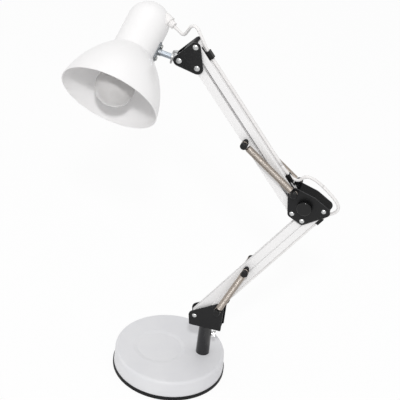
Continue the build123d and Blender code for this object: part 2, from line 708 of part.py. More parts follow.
def spring_path(length):
    """Wire of one spring along X between two pegs that are a length apart."""
    r = SPRING_RADIUS - SPRING_WIRE / 2
    first = SPRING_LEG + SPRING_LEAD_IN
    turns = SPRING_CURLS - 0.5
    pitch = (length - 2 * first) / turns

    def place(turn):
        angle = 2 * pi * (turn + 0.25)
        return Vector(first + pitch * turn, r * sin(angle), r * cos(angle))

    def heading(turn):
        angle = 2 * pi * (turn + 0.25)
        return Vector(pitch / (2 * pi), r * cos(angle), -r * sin(angle)).normalized()

    ahead = Vector(1, 0, 0)
    steps = int(2 * turns)
    edges = [
        Line((SPRING_WIRE, 0, -r), (0, 0, -r)),
        ThreePointArc((0, 0, -r), (-r, 0, 0), (0, 0, r)),
        Line((0, 0, r), (SPRING_LEG, 0, r)),
    ]
    edges += biarc(Vector(SPRING_LEG, 0, r), ahead, place(0), heading(0))
    for step in range(steps):
        low, high = step / 2, (step + 1) / 2
        edges += biarc(place(low), heading(low), place(high), heading(high))
    leave = Vector(length - SPRING_LEG, 0, r)
    edges += biarc(place(turns), heading(turns), leave, ahead)
    edges += [
        Line(leave, (length, 0, r)),
        ThreePointArc((length, 0, r), (length + r, 0, 0), (length, 0, -r)),
        Line((length, 0, -r), (length - SPRING_WIRE, 0, -r)),
    ]
    return Wire(edges)


def self_gap(path):
    """Least gap between stretches of a spring wire, measured on points along it."""
    count = int(path.length / SPRING_STEP)
    points = [path @ (i / count) for i in range(count + 1)]
    half_turn = int(pi * SPRING_RADIUS / SPRING_STEP)
    apart = [(b - a).length for i, a in enumerate(points) for b in points[i + half_turn :]]
    return min(apart) - SPRING_WIRE


def springs(name, foot, head):
    """Near and far spring between a bracket peg and a bar peg."""
    run = Vector(head[0] - foot[0], head[1] - foot[1])
    angle = run.get_signed_angle(Vector(1, 0, 0), Vector(0, 0, -1))
    path = spring_path(run.length)
    print(name, "curls", SPRING_CURLS, "least self-gap", round(self_gap(path), 2))
    solid = tube(path, SPRING_WIRE / 2)
    return both_sides(Location((foot[0], -SPRING_Y, foot[1]), (0, -angle, 0)) * solid)


def make_springs():
    """Four tension springs."""
    for name, foot, head in (
        ("lower_springs", LOWER_SPRING_FOOT, LOWER_SPRING_PIN),
        ("upper_springs", UPPER_SPRING_FOOT, UPPER_SPRING_PIN),
    ):
        save(name, springs(name, foot, head))


# Head


def head_plates():
    """Near and far plate at the top of the upper arm, joined by a folded web."""
    outline = ears(
        (UPPER_REAR_TOP, HEAD_TOP_EAR),
        (TILT, HEAD_TILT_EAR),
        (UPPER_FRONT_TOP, HEAD_BASE_EAR),
    )
    holes = [(UPPER_REAR_TOP, PIN_RADIUS), (UPPER_FRONT_TOP, PIN_RADIUS)]
    near, far = plates(outline, holes + [(TILT, TILT_BOLT_RADIUS)])
    band = outline - offset(outline, amount=-PLATE_THICK)
    keep = Pos(*HEAD_WEB_START) * Rectangle(*HEAD_WEB_SIZE, align=(Align.MIN, Align.MIN))
    return near + far + slab(band & keep, -PLATE_INNER, PLATE_INNER)


def tilt_bolt():
    """Bolt of the tilt joint, with its sleeve beside the knuckle."""
    shank = pin(TILT, TILT_BOLT_RADIUS, -PLATE_OUTER, TILT_BOLT_END)
    foot = STEM_Y + KNUCKLE_THICK / 2 + SIDE_PLAY
    sleeve = pin(TILT, KNUCKLE_RADIUS - PLATE_THICK, foot, PLATE_INNER)
    return shank + sleeve + domed_head(TILT, HEAD_RIVET, -PLATE_OUTER)


def wing_nut(radius, bore, thick, span):
    """Wing nut about Z, wings along X."""
    wing = Pos(0, 0, thick / 2) * Rot(90, 0, 0) * extrude(
        SlotOverall(2 * span, thick), amount=WING_THICK / 2, both=True
    )
    return rod(radius, 0, thick) + wing - rod(bore, 0, thick)


def tilt_wing_nut():
    """Wing nut at the far end of the tilt bolt."""
    nut = wing_nut(TILT_NUT_RADIUS, TILT_BOLT_RADIUS + RUNNING_FIT, TILT_NUT_THICK, TILT_NUT_SPAN)
    return Location((TILT[0], PLATE_OUTER + SEAT_GAP, TILT[1]), (-90, 0, 0)) * nut


def stem_knuckle():
    """Eye on the tilt bolt with the stud that the stem turns on."""
    half = KNUCKLE_THICK / 2
    eye = pin(TILT, KNUCKLE_RADIUS, STEM_Y - half, STEM_Y + half)
    arm = extrude(Rectangle(KNUCKLE_THICK, 2 * STEM_RADIUS), amount=KNUCKLE_ARM)
    solid = eye + STEM * (arm + rod(STUD_RADIUS, 0, STUD_END))
    return solid - pin(TILT, TILT_BOLT_RADIUS + RUNNING_FIT, STEM_Y - half, STEM_Y + half)


def stem_lock_nut():
    """Wing nut on the stud, between knuckle and stem."""
    nut = wing_nut(LOCK_NUT_RADIUS, STUD_RADIUS + RUNNING_FIT, LOCK_NUT_THICK, WING_SPAN)
    return STEM * Location((0, 0, KNUCKLE_ARM + SEAT_GAP), (0, 0, 90)) * nut


def stem_rod():
    """Hollow stem that turns on the stud, up to the neck of the shade."""
    start = KNUCKLE_ARM + LOCK_NUT_THICK + 2 * SEAT_GAP
    bar = rod(STEM_RADIUS, start, STEM_REACH)
    bar -= rod(STUD_RADIUS + RUNNING_FIT, start, STUD_END + SEAT_GAP)
    return STEM * bar - HEAD * rod(NECK_RADIUS, 0, DOME_HEIGHT)


def neck_strip(inner, outer, half_width, foot, top):
    """Curved strip about the neck, on the side of the stem."""
    spread = asin(half_width / inner)
    sector = ring(outer, inner, foot, top)
    wedge = Polygon(
        (0, 0),
        (2 * outer, -2 * outer * sin(spread)),
        (2 * outer, 2 * outer * sin(spread)),
        align=None,
    )
    return sector & extrude(Plane.XY.offset(foot) * wedge, amount=top - foot)


def screw_heights():
    """Heights of the two saddle screws above the mouth."""
    return [STEM_HEIGHT - SADDLE_SCREW_PITCH / 2, STEM_HEIGHT + SADDLE_SCREW_PITCH / 2]


def across_neck(height, radius, start, end):
    """Round bar square to the axis of the head, towards the stem side."""
    return Location((0, 0, height), (0, 90, 0)) * rod(radius, start, end)


def neck_saddle():
    """Saddle plate on the neck with the boss for the stem."""
    outer = NECK_RADIUS + SADDLE_THICK
    foot = STEM_HEIGHT - SADDLE_HEIGHT / 2
    strip = neck_strip(NECK_RADIUS, outer, SADDLE_WIDTH / 2, foot, foot + SADDLE_HEIGHT)
    boss_end = STEM_REACH - NECK_RADIUS
    boss = STEM * rod(SADDLE_BOSS, boss_end - SADDLE_BOSS_HEIGHT, boss_end + SADDLE_THICK)
    boss -= HEAD * rod(NECK_RADIUS, 0, DOME_HEIGHT)
    for height in screw_heights():
        strip -= across_neck(height, SADDLE_SCREW_RADIUS, NECK_RADIUS / 2, outer)
    solid = HEAD * strip + boss
    return solid - STEM * rod(STEM_RADIUS, 0, STEM_REACH)


def saddle_screws():
    """Two screws through saddle, neck and lampholder strip."""
    face = NECK_RADIUS + SADDLE_THICK
    inside = NECK_RADIUS - SHADE_WALL - HOLDER_STRIP_WALL
    screws = []
    for height in screw_heights():
        shank = across_neck(height, SADDLE_SCREW_RADIUS, inside, face)
        head = across_neck(height, SADDLE_SCREW_HEAD, face, face + SADDLE_SCREW_HEAD_THICK)
        head = fillet(head.edges().group_by(Axis.X)[-1], SADDLE_SCREW_HEAD_THICK / 2)
        screws.append(HEAD * (shank + head))
    return screws


def shade_block(inset):
    """Solid form of the shade, or of the space in it when inset by the wall."""
    chord = Vector(NECK_RADIUS - MOUTH_RADIUS, BELL_HEIGHT)
    radius = chord.length**2 / (8 * BELL_BULGE) + BELL_BULGE / 2
    inward = Vector(-chord.Y, chord.X).normalized()
    centre = Vector(MOUTH_RADIUS, 0) + chord * 0.5 + inward * (radius - BELL_BULGE)
    bell = radius - inset
    neck = NECK_RADIUS - inset
    mouth = centre.X + sqrt(bell**2 - centre.Y**2)
    meet = centre.Y + sqrt(bell**2 - (neck - centre.X) ** 2)
    aim = (atan2(-centre.Y, mouth - centre.X) + atan2(meet - centre.Y, neck - centre.X)) / 2
    side = (centre.X + bell * cos(aim), centre.Y + bell * sin(aim))
    outline = [
        Line((0, 0), (mouth, 0)),
        ThreePointArc((mouth, 0), side, (neck, meet)),
        Line((neck, meet), (neck, DOME_HEIGHT)),
        ThreePointArc(
            (neck, DOME_HEIGHT),
            (neck * sqrt(0.5), DOME_HEIGHT + neck * sqrt(0.5)),
            (0, DOME_HEIGHT + neck),
        ),
        Line((0, DOME_HEIGHT + neck), (0, 0)),
    ]
    face = make_face(outline)
    corner = face.vertices().sort_by_distance((neck, meet))[0]
    return revolve(Plane.XZ * fillet(corner, NECK_FILLET + inset), axis=Axis.Z)


def gland_frame():
    """Plane on the dome where the lead leaves, looking along the lead (arm frame)."""
    up = GLAND_HEIGHT - DOME_HEIGHT
    reach = sqrt(NECK_RADIUS**2 - up**2)
    turn = radians(GLAND_AZIMUTH)
    on_dome = HEAD.from_local_coords(Vector(reach * cos(turn), reach * sin(turn), GLAND_HEIGHT))
    return Plane(origin=on_dome, z_dir=LEAD_VALLEY - on_dome)


def shade():
    """Spun shade: bell, neck and dome, with holes for screws and lead."""
    solid = shade_block(0) - shade_block(SHADE_WALL)
    for height in screw_heights():
        solid -= across_neck(height, SADDLE_SCREW_RADIUS, NECK_RADIUS / 2, 2 * NECK_RADIUS)
    inward = GLAND_FLANGE_RADIUS
    return HEAD * solid - gland_frame() * rod(LEAD_RADIUS + SEAT_GAP, -inward, inward)


def lead_gland():
    """Stepped gland that follows the dome."""
    solid = rod(GLAND_FLANGE_RADIUS, -GLAND_FLANGE_RADIUS, GLAND_FLANGE)
    solid += rod(GLAND_SLEEVE_RADIUS, GLAND_FLANGE, GLAND_END)
    solid -= rod(LEAD_RADIUS, -GLAND_FLANGE_RADIUS, GLAND_END)
    centre = HEAD.from_local_coords(Vector(0, 0, DOME_HEIGHT))
    inside = Pos(*centre) * Sphere(NECK_RADIUS) + HEAD * rod(NECK_RADIUS, 0, DOME_HEIGHT)
    return gland_frame() * solid - inside


def holder_bracket():
    """Strip on the inside of the neck with a tongue that carries the lampholder."""
    outer = NECK_RADIUS - SHADE_WALL
    inner = outer - HOLDER_STRIP_WALL
    top = HOLDER_STRIP_LEVEL + HOLDER_STRIP_WALL
    strip = neck_strip(inner, outer, HOLDER_STRIP_WIDTH / 2, HOLDER_STRIP_FOOT, top)
    tongue = Rectangle(inner, HOLDER_STRIP_WIDTH, align=(Align.MIN, Align.CENTER))
    tongue = (tongue + Circle(HOLDER_TONGUE_RADIUS)) & Circle(outer)
    tongue = extrude(Plane.XY.offset(HOLDER_STRIP_LEVEL) * tongue, amount=HOLDER_STRIP_WALL)
    solid = strip + tongue - rod(NIPPLE_RADIUS, HOLDER_STRIP_LEVEL, top)
    for height in screw_heights():
        solid -= across_neck(height, SADDLE_SCREW_RADIUS, NECK_RADIUS / 2, NECK_RADIUS)
    return solid


def lampholder():
    """Lampholder body with its hollow nipple."""
    body = rod(HOLDER_RADIUS, HOLDER_FOOT, HOLDER_TOP)
    body = fillet(body.edges().group_by(Axis.Z)[-1], HOLDER_STRIP_WALL)
    body -= rod(HOLDER_BORE, HOLDER_FOOT, HOLDER_BORE_TOP)
    nipple = rod(NIPPLE_RADIUS, HOLDER_TOP, NIPPLE_TOP)
    return body + nipple - rod(LEAD_RADIUS + SEAT_GAP, HOLDER_BORE_TOP, NIPPLE_TOP)


def holder_contact():
    """Spring contact in the floor of the lampholder."""
    disc = rod(CONTACT_RADIUS, CAP_TIP_TOP, CAP_TIP_TOP + CONTACT_THICK)
    post_end = ring(CONTACT_RADIUS, LEAD_RADIUS + SEAT_GAP, CAP_TIP_TOP, HOLDER_BORE_TOP)
    return disc + post_end


def bulb_block(inset):
    """Solid form of the bulb glass, or of the space in it."""
    ball = BULB_RADIUS - inset
    turn = radians(BULB_SHOULDER)
    shoulder = (ball * cos(turn), BULB_CENTRE + ball * sin(turn))
    neck = (BULB_NECK - inset, BULB_NECK_TOP)
    outline = [
        ThreePointArc((0, BULB_CENTRE - ball), (ball, BULB_CENTRE), shoulder),
        TangentArc(shoulder, neck, tangent=(-sin(turn), cos(turn))),
        Line(neck, (0, BULB_NECK_TOP)),
        Line((0, BULB_NECK_TOP), (0, BULB_CENTRE - ball)),
    ]
    return revolve(Plane.XZ * make_face(outline), axis=Axis.Z)


def bulb_cap():
    """Screw cap of the bulb with its centre contact."""
    solid = rod(CAP_RADIUS, BULB_NECK_TOP, CAP_TOP)
    return solid + rod(CAP_TIP_RADIUS, CAP_TOP, CAP_TIP_TOP)


def make_head():
    """Head bracket, tilt joint, stem, shade, lampholder and bulb."""
    save("head_plates", head_plates())
    save("head_rivets", [rivet(c, HEAD_RIVET) for c in (UPPER_REAR_TOP, UPPER_FRONT_TOP)])
    rear = sleeves(UPPER_REAR_TOP, REAR_WIDTH / 2)
    save("head_spacers", rear + sleeves(UPPER_FRONT_TOP, FRONT_WIDTH / 2))
    save("tilt_bolt", tilt_bolt())
    save("tilt_wing_nut", tilt_wing_nut())
    save("stem_knuckle", stem_knuckle())
    save("stem_lock_nut", stem_lock_nut())
    save("stem_rod", stem_rod())
    save("neck_saddle", neck_saddle())
    save("saddle_screws", saddle_screws())
    save("shade", shade())
    save("lead_gland", lead_gland())
    shell_inner = HOLDER_BORE - HOLDER_SHELL_WALL
    shell = ring(HOLDER_BORE, shell_inner, HOLDER_SHELL_FOOT, HOLDER_SHELL_TOP)
    save("holder_bracket", HEAD * holder_bracket())
    save("lampholder", HEAD * lampholder())
    save("holder_shell", HEAD * shell)
    save("holder_contact", HEAD * holder_contact())
    save("bulb_glass", HEAD * (bulb_block(0) - bulb_block(BULB_WALL)))
    save("bulb_cap", HEAD * bulb_cap())


# Lead


def on_plane(point):
    """Point of the arm plane in space."""
    return Vector(point[0], 0, point[1])


def lead_run(name, points, radii):
    """One stretch of the lead through corner points, with a radius at each corner."""
    path = FilletPolyline(*points, radius=list(radii)) if radii else Line(*points)
    path = Wire(path.edges())
    solid = tube(path, LEAD_RADIUS)
    print(name, "length", round(path.length, 2), "radii", radii,
          "volume ratio", round(solid.volume / (pi * LEAD_RADIUS**2 * path.length), 4))
    save(name, solid)


def make_lead():
    """Lead from the dome along both rear bars to the lower clip."""
    frame = gland_frame()
    gland = frame.origin + frame.z_dir * GLAND_FLANGE
    top = BAR_LENGTH - LEAD_HEAD_JOIN
    head_join = on_plane(along(UPPER_REAR_FOOT, UPPER_ANGLE, top, LEAD_BACK))
    head_clip = on_plane(along(UPPER_REAR_FOOT, UPPER_ANGLE, top - CLIP_LENGTH, LEAD_BACK))
    rise = (LEAD_VALLEY + LEAD_ARCH) * 0.5
    fall = LEAD_ARCH + (head_join - LEAD_ARCH) * LEAD_FALL
    radii = LEAD_HEAD_RADII
    lead_run("lead_head_1", [gland, LEAD_VALLEY, rise], radii[:1])
    lead_run("lead_head_2", [rise, LEAD_ARCH, fall], radii[1:2])
    lead_run("lead_head_3", [fall, head_join, head_clip], radii[2:])

    leave = on_plane(along(UPPER_REAR_FOOT, UPPER_ANGLE, LEAD_ELBOW_LEAVE, LEAD_BACK))
    elbow_clip = on_plane(along(UPPER_REAR_FOOT, UPPER_ANGLE, LEAD_ELBOW_CLIP, LEAD_BACK))
    lead_run("lead_upper", [head_clip, elbow_clip], ())
    over, side, turn = [on_plane(p) for p in (LEAD_ELBOW_TOP, LEAD_ELBOW_SIDE, LEAD_ELBOW_TURN)]
    middle = (over + side) * 0.5
    reach = BAR_LENGTH - LEAD_ELBOW_JOIN
    join = on_plane(along(LOWER_REAR_FOOT, LOWER_ANGLE, reach, LEAD_BACK))
    lower_clip = on_plane(along(LOWER_REAR_FOOT, LOWER_ANGLE, reach - CLIP_LENGTH, LEAD_BACK))
    foot = on_plane(along(LOWER_REAR_FOOT, LOWER_ANGLE, LEAD_FOOT, LEAD_BACK))
    radii = LEAD_ELBOW_RADII
    lead_run("lead_elbow_1", [elbow_clip, leave, over, middle], radii[:2])
    lead_run("lead_elbow_2", [middle, side, turn, join, lower_clip], radii[2:])
    lead_run("lead_lower", [lower_clip, foot], ())


def main():
    """Write every node."""
    os.makedirs("parts", exist_ok=True)
    make_base()
    make_lower_bracket()
    lower = (LOWER_FRONT_FOOT, LOWER_REAR_FOOT, LOWER_ANGLE, LOWER_SPRING_PIN)
    make_arm("lower", *lower, LOWEST_CLIP_START, LEAD_FOOT)
    make_elbow()
    upper = (UPPER_FRONT_FOOT, UPPER_REAR_FOOT, UPPER_ANGLE, UPPER_SPRING_PIN)
    make_arm("upper", *upper, CLIP_START, CLIP_START)
    make_springs()
    make_head()
    make_lead()


if __name__ == "__main__":
    main()
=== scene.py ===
"""Swing arm desk lamp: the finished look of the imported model, in metres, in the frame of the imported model."""

import logging
import math
from dataclasses import dataclass
from enum import Enum
from typing import Optional, Sequence, Union

import bmesh
import bpy
from mathutils import Matrix, Vector


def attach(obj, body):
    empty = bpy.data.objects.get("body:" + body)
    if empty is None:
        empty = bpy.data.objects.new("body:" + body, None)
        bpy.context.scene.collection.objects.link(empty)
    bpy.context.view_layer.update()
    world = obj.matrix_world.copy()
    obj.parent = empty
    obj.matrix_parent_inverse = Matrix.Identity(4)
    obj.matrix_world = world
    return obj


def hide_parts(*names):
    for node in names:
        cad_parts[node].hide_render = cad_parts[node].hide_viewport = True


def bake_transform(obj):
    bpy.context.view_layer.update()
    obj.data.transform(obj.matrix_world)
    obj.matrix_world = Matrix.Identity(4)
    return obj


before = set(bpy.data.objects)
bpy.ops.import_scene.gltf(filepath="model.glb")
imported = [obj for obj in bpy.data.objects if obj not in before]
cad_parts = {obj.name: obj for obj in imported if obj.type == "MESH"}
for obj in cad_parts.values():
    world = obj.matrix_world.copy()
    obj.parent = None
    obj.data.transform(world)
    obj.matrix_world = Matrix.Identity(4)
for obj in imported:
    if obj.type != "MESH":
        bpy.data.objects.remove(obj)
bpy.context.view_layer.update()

LOG = logging.getLogger("desk_lamp")
MM = 0.001

# Attribute of the springs: how squarely a place on a coil faces the camera, from nought to one; it places the
# painted highlight and painted shade of the wire.
FACING = "facing"

# Direction from the lamp towards the camera, about which the painted highlight on the springs is centred.
TOWARDS_CAMERA = Vector((0.0, -0.845, 0.534))

# The arm stands in a plane through the axis of the post, turned from the X axis of the base.
POST_X = 55.4
ARM_AZIMUTH = math.radians(11.7)

Setting = Union[float, str, bool, tuple, bpy.types.NodeSocket]


def arm_frame() -> Matrix:
    """Returns: the matrix from the arm's own millimetres (along, across, up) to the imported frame."""
    place = Matrix.Translation((POST_X * MM, 0.0, 0.0))
    return place @ Matrix.Rotation(-ARM_AZIMUTH, 4, "Z") @ Matrix.Scale(MM, 4)


def arm_point(along: float, across: float, up: float) -> Vector:
    """Returns: a place of the arm plane, given in millimetres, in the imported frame."""
    return arm_frame() @ Vector((along, across, up))


def linear(colour: str) -> tuple[float, float, float, float]:
    """Turns an sRGB hex colour to linear.

    Args:
        colour: six hex digits after a number sign.

    Returns:
        Linear red, green, blue and an alpha of one.
    """
    parts = [int(colour[i : i + 2], 16) / 255.0 for i in (1, 3, 5)]
    done = [p / 12.92 if p <= 0.04045 else ((p + 0.055) / 1.055) ** 2.4 for p in parts]
    return (done[0], done[1], done[2], 1.0)


def per_metre(spacing_mm: float) -> float:
    """Returns: the texture scale whose features lie about this many millimetres apart."""
    return 1.0 / (spacing_mm * MM)


def add_node(
    tree: bpy.types.NodeTree,
    kind: str,
    inputs: Optional[dict[Union[str, int], Setting]] = None,
    stops: Sequence[tuple[float, str]] = (),
    **settings: Setting,
) -> bpy.types.Node:
    """Adds one node with its settings and links.

    Args:
        tree: the node tree that gets it.
        kind: Blender's name of the node type.
        inputs: a value or an output socket for each input, by name or place.
        stops: place and hex colour of each stop, from low to high, where the node holds a colour ramp.
        **settings: attributes of the node itself.

    Returns:
        The new node.
    """
    node = tree.nodes.new(kind)
    for key, value in settings.items():
        setattr(node, key, value)
    for key, value in (inputs or {}).items():
        if isinstance(value, bpy.types.NodeSocket):
            tree.links.new(value, node.inputs[key])
        else:
            node.inputs[key].default_value = value
    for index, (place, colour) in enumerate(stops):
        elements = node.color_ramp.elements
        stop = elements[index] if index < len(elements) else elements.new(place)
        stop.position = place
        stop.color = linear(colour)
    return node


class Slot(Enum):
    """Material slots of the record."""

    BASE_PAINT = "base_paint"
    RIM_RUBBER = "rim_rubber"
    PAD_RUBBER = "pad_rubber"
    BALLAST = "ballast"
    BOLT_STEEL = "bolt_steel"
    BLACK_PAINT = "black_paint"
    NYLON = "nylon"
    BAR_PAINT = "bar_paint"
    BLACK_PLASTIC = "black_plastic"
    BRIGHT_STEEL = "bright_steel"
    SPRING_STEEL = "spring_steel"
    SHADE_PAINT = "shade_paint"
    HOLDER_PLASTIC = "holder_plastic"
    BRASS = "brass"
    BULB_FROST = "bulb_frost"
    CAP_ALUMINIUM = "cap_aluminium"
    LEAD_PVC = "lead_pvc"
    SADDLE_ZINC = "saddle_zinc"


@dataclass(frozen=True)
class Finish:
    """What every finish has: a name, a main and a second colour, and a range of roughness."""

    name: str
    colour: str
    second: str
    smooth: float
    rough: float
    metallic: float = 0.0
    specular: float = 0.5

    def start(self) -> tuple[bpy.types.Material, bpy.types.Node, bpy.types.NodeSocket]:
        """Begins the material.

        Returns:
            The material, its main shader and the object coordinates.
        """
        material = bpy.data.materials.new(self.name)
        material.use_nodes = True
        tree = material.node_tree
        shader = tree.nodes["Principled BSDF"]
        shader.inputs["Metallic"].default_value = self.metallic
        shader.inputs["Specular IOR Level"].default_value = self.specular
        coords = add_node(tree, "ShaderNodeTexCoord")
        return material, shader, coords.outputs["Object"]

    def mottle(
        self, tree: bpy.types.NodeTree, shader: bpy.types.Node, where: bpy.types.NodeSocket, patch_mm: float
    ) -> None:
        """Lets colour and roughness drift between their two values in soft patches.

        Args:
            tree: the material's node tree.
            shader: its main shader.
            where: the coordinates that the patches lie in.
            patch_mm: width of a patch.
        """
        scale = per_metre(patch_mm)
        patch = add_node(tree, "ShaderNodeTexNoise", {"Vector": where, "Scale": scale, "Detail": 5.0})
        drift = patch.outputs["Fac"]
        colour = add_node(
            tree, "ShaderNodeValToRGB", {"Fac": drift}, stops=[(0.35, self.colour), (0.7, self.second)]
        )
        tree.links.new(colour.outputs["Color"], shader.inputs["Base Color"])
        spread = add_node(
            tree,
            "ShaderNodeMapRange",
            {"Value": drift, "From Min": 0.3, "From Max": 0.7, "To Min": self.smooth, "To Max": self.rough},
        )
        tree.links.new(spread.outputs["Result"], shader.inputs["Roughness"])

    def surface(
        self,
        tree: bpy.types.NodeTree,
        shader: bpy.types.Node,
        height: bpy.types.NodeSocket,
        depth_mm: float,
        edge_mm: float,
    ) -> bpy.types.NodeSocket:
        """Rounds sharp edges as a brake, die or mould leaves them, and lays the fine relief over them.

        Args:
            tree: the material's node tree.
            shader: its main shader.
            height: pattern of the relief, from nought to one.
            depth_mm: depth of the relief.
            edge_mm: radius of the edges.

        Returns:
            The normal of the rounded edges without the relief.
        """
        rounded = add_node(tree, "ShaderNodeBevel", {"Radius": edge_mm * MM}, samples=4).outputs["Normal"]
        bump = add_node(
            tree,
            "ShaderNodeBump",
            {"Height": height, "Distance": depth_mm * MM, "Strength": 1.0, "Normal": rounded},
        )
        tree.links.new(bump.outputs["Normal"], shader.inputs["Normal"])
        return rounded


@dataclass(frozen=True)
class PowderCoat(Finish):
    """Powder coat on steel: a soft gloss over a shallow orange peel, with edges that the coat rounds off."""

    peel_mm: float = 1.6
    peel_depth_mm: float = 0.012
    edge_mm: float = 0.5
    patch_mm: float = 60.0
    # Paler colour painted along the edges, as painted highlight and rubbed coat, if any.
    edge_wear_and_highlight: Optional[str] = None
    inside_mm: Optional[float] = None

    def flatten_inside(self, tree: bpy.types.NodeTree, shader: bpy.types.Node, where: bpy.types.NodeSocket) -> None:
        """Takes the gloss off between the two plates of a bracket, where the spray reaches only as dust.

        Args:
            tree: the material's node tree.
            shader: its main shader.
            where: the object coordinates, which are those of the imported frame.
        """
        side = (math.sin(ARM_AZIMUTH), math.cos(ARM_AZIMUTH), 0.0)
        across = add_node(tree, "ShaderNodeVectorMath", {0: where, 1: side}, operation="DOT_PRODUCT")
        middle = POST_X * MM * math.sin(ARM_AZIMUTH)
        aside = add_node(tree, "ShaderNodeMath", {0: across.outputs["Value"], 1: middle}, operation="SUBTRACT")
        depth = add_node(tree, "ShaderNodeMath", {0: aside.outputs["Value"]}, operation="ABSOLUTE")
        gloss = add_node(
            tree,
            "ShaderNodeMapRange",
            {
                "Value": depth.outputs["Value"],
                "From Min": self.inside_mm * MM,
                "From Max": self.inside_mm * MM * 1.02,
                "To Min": 0.03,
                "To Max": self.specular,
            },
        )
        tree.links.new(gloss.outputs["Result"], shader.inputs["Specular IOR Level"])

    def paint_edge_wear_and_highlight(self, tree: bpy.types.NodeTree, shader: bpy.types.Node, rounded: bpy.types.NodeSocket) -> None:
        """Paints a paler colour along the edges: a painted highlight where the rounded edges catch the light, and
        coat rubbed thin by handling.

        Args:
            tree: the material's node tree.
            shader: its main shader, which already has a colour.
            rounded: the normal that rounds the edges.
        """
        flat = add_node(tree, "ShaderNodeNewGeometry").outputs["Normal"]
        turn = add_node(tree, "ShaderNodeVectorMath", {0: rounded, 1: flat}, operation="DOT_PRODUCT")
        edge = add_node(
            tree,
            "ShaderNodeMapRange",
            {"Value": turn.outputs["Value"], "From Min": 0.99, "From Max": 0.85, "To Min": 0.0, "To Max": 0.7},
        )
        coat = shader.inputs["Base Color"].links[0].from_socket
        both = add_node(
            tree,
            "ShaderNodeMix",
            {0: edge.outputs["Result"], 6: coat, 7: linear(self.edge_wear_and_highlight)},
            data_type="RGBA",
        )
        tree.links.new(both.outputs[2], shader.inputs["Base Color"])

    def build(self) -> bpy.types.Material:
        """Returns: the finished material."""
        material, shader, where = self.start()
        tree = material.node_tree
        self.mottle(tree, shader, where, self.patch_mm)
        peel = add_node(
            tree, "ShaderNodeTexNoise", {"Vector": where, "Scale": per_metre(self.peel_mm), "Detail": 2.0}
        )
        rounded = self.surface(tree, shader, peel.outputs["Fac"], self.peel_depth_mm, self.edge_mm)
        if self.edge_wear_and_highlight:
            self.paint_edge_wear_and_highlight(tree, shader, rounded)
        if self.inside_mm:
            self.flatten_inside(tree, shader, where)
        return material


@dataclass(frozen=True)
class MouldedPlastic(Finish):
    """Injection moulded plastic: a faint spark-eroded grain and soft edges."""

    # The real grain is about a tenth of a millimetre wide and is drawn coarser, so that it shows.
    grain_mm: float = 0.35
    grain_depth_mm: float = 0.01
    edge_mm: float = 0.35
    patch_mm: float = 25.0

    def build(self) -> bpy.types.Material:
        """Returns: the finished material."""
        material, shader, where = self.start()
        tree = material.node_tree
        self.mottle(tree, shader, where, self.patch_mm)
        grain = add_node(tree, "ShaderNodeTexVoronoi", {"Vector": where, "Scale": per_metre(self.grain_mm)})
        self.surface(tree, shader, grain.outputs["Distance"], self.grain_depth_mm, self.edge_mm)
        return material


@dataclass(frozen=True)
class PlatedMetal(Finish):
    """Plated or bare metal: a bright face with fine draw lines and small clouded spots."""

    # Real draw lines are a few hundredths of a millimetre wide and are drawn coarser, so that they show.
    line_mm: float = 0.25
    line_depth_mm: float = 0.003
    edge_mm: float = 0.3
    patch_mm: float = 6.0
    stretch: tuple[float, float, float] = (1.0, 1.0, 0.08)

    def build(self) -> bpy.types.Material:
        """Returns: the finished material."""
        material, shader, where = self.start()
        tree = material.node_tree
        self.mottle(tree, shader, where, self.patch_mm)
        drawn = add_node(tree, "ShaderNodeMapping", {"Vector": where, "Scale": self.stretch})
        lines = add_node(
            tree,
            "ShaderNodeTexNoise",
            {"Vector": drawn.outputs["Vector"], "Scale": per_metre(self.line_mm), "Detail": 3.0},
        )
        self.surface(tree, shader, lines.outputs["Fac"], self.line_depth_mm, self.edge_mm)
        return material


@dataclass(frozen=True)
class SpringWire(Finish):
    """Oil tempered wire: painted shade at the flanks of the coils, and a painted highlight along the side that faces
    the camera.
    """

    # Colour of the painted highlight along the side of the coils that faces the camera.
    painted_highlight: str = "#CCC4BC"
    spot_mm: float = 3.0

    def build(self) -> bpy.types.Material:
        """Returns: the finished material."""
        material, shader, where = self.start()
        tree = material.node_tree
        shader.inputs["Roughness"].default_value = (self.smooth + self.rough) / 2
        facing = add_node(tree, "ShaderNodeAttribute", attribute_name=FACING)
        spots = add_node(
            tree, "ShaderNodeTexNoise", {"Vector": where, "Scale": per_metre(self.spot_mm), "Detail": 3.0}
        )
        drift = add_node(
            tree,
            "ShaderNodeMapRange",
            {"Value": spots.outputs["Fac"], "From Min": 0.3, "From Max": 0.7, "To Min": -0.02, "To Max": 0.02},
        )
        place = add_node(
            tree, "ShaderNodeMath", {0: facing.outputs["Fac"], 1: drift.outputs["Result"]}, operation="ADD"
        )
        # Painted shade at the flanks, where facing is near nought, and painted highlight where the coil faces the
        # camera.
        stops = [(0.0, self.colour), (0.5, self.second), (0.78, self.colour), (0.97, self.painted_highlight)]
        wire = add_node(tree, "ShaderNodeValToRGB", {"Fac": place.outputs["Value"]}, stops=stops)
        tree.links.new(wire.outputs["Color"], shader.inputs["Base Color"])
        return material


@dataclass(frozen=True)
class CastMetal(Finish):
    """Sand cast metal: a dull, pitted skin."""

    pit_mm: float = 1.2
    pit_depth_mm: float = 0.15
    edge_mm: float = 0.5
    patch_mm: float = 12.0

    def build(self) -> bpy.types.Material:
        """Returns: the finished material."""
        material, shader, where = self.start()
        tree = material.node_tree
        self.mottle(tree, shader, where, self.patch_mm)
        pits = add_node(tree, "ShaderNodeTexVoronoi", {"Vector": where, "Scale": per_metre(self.pit_mm)})
        self.surface(tree, shader, pits.outputs["Distance"], self.pit_depth_mm, self.edge_mm)
        return material


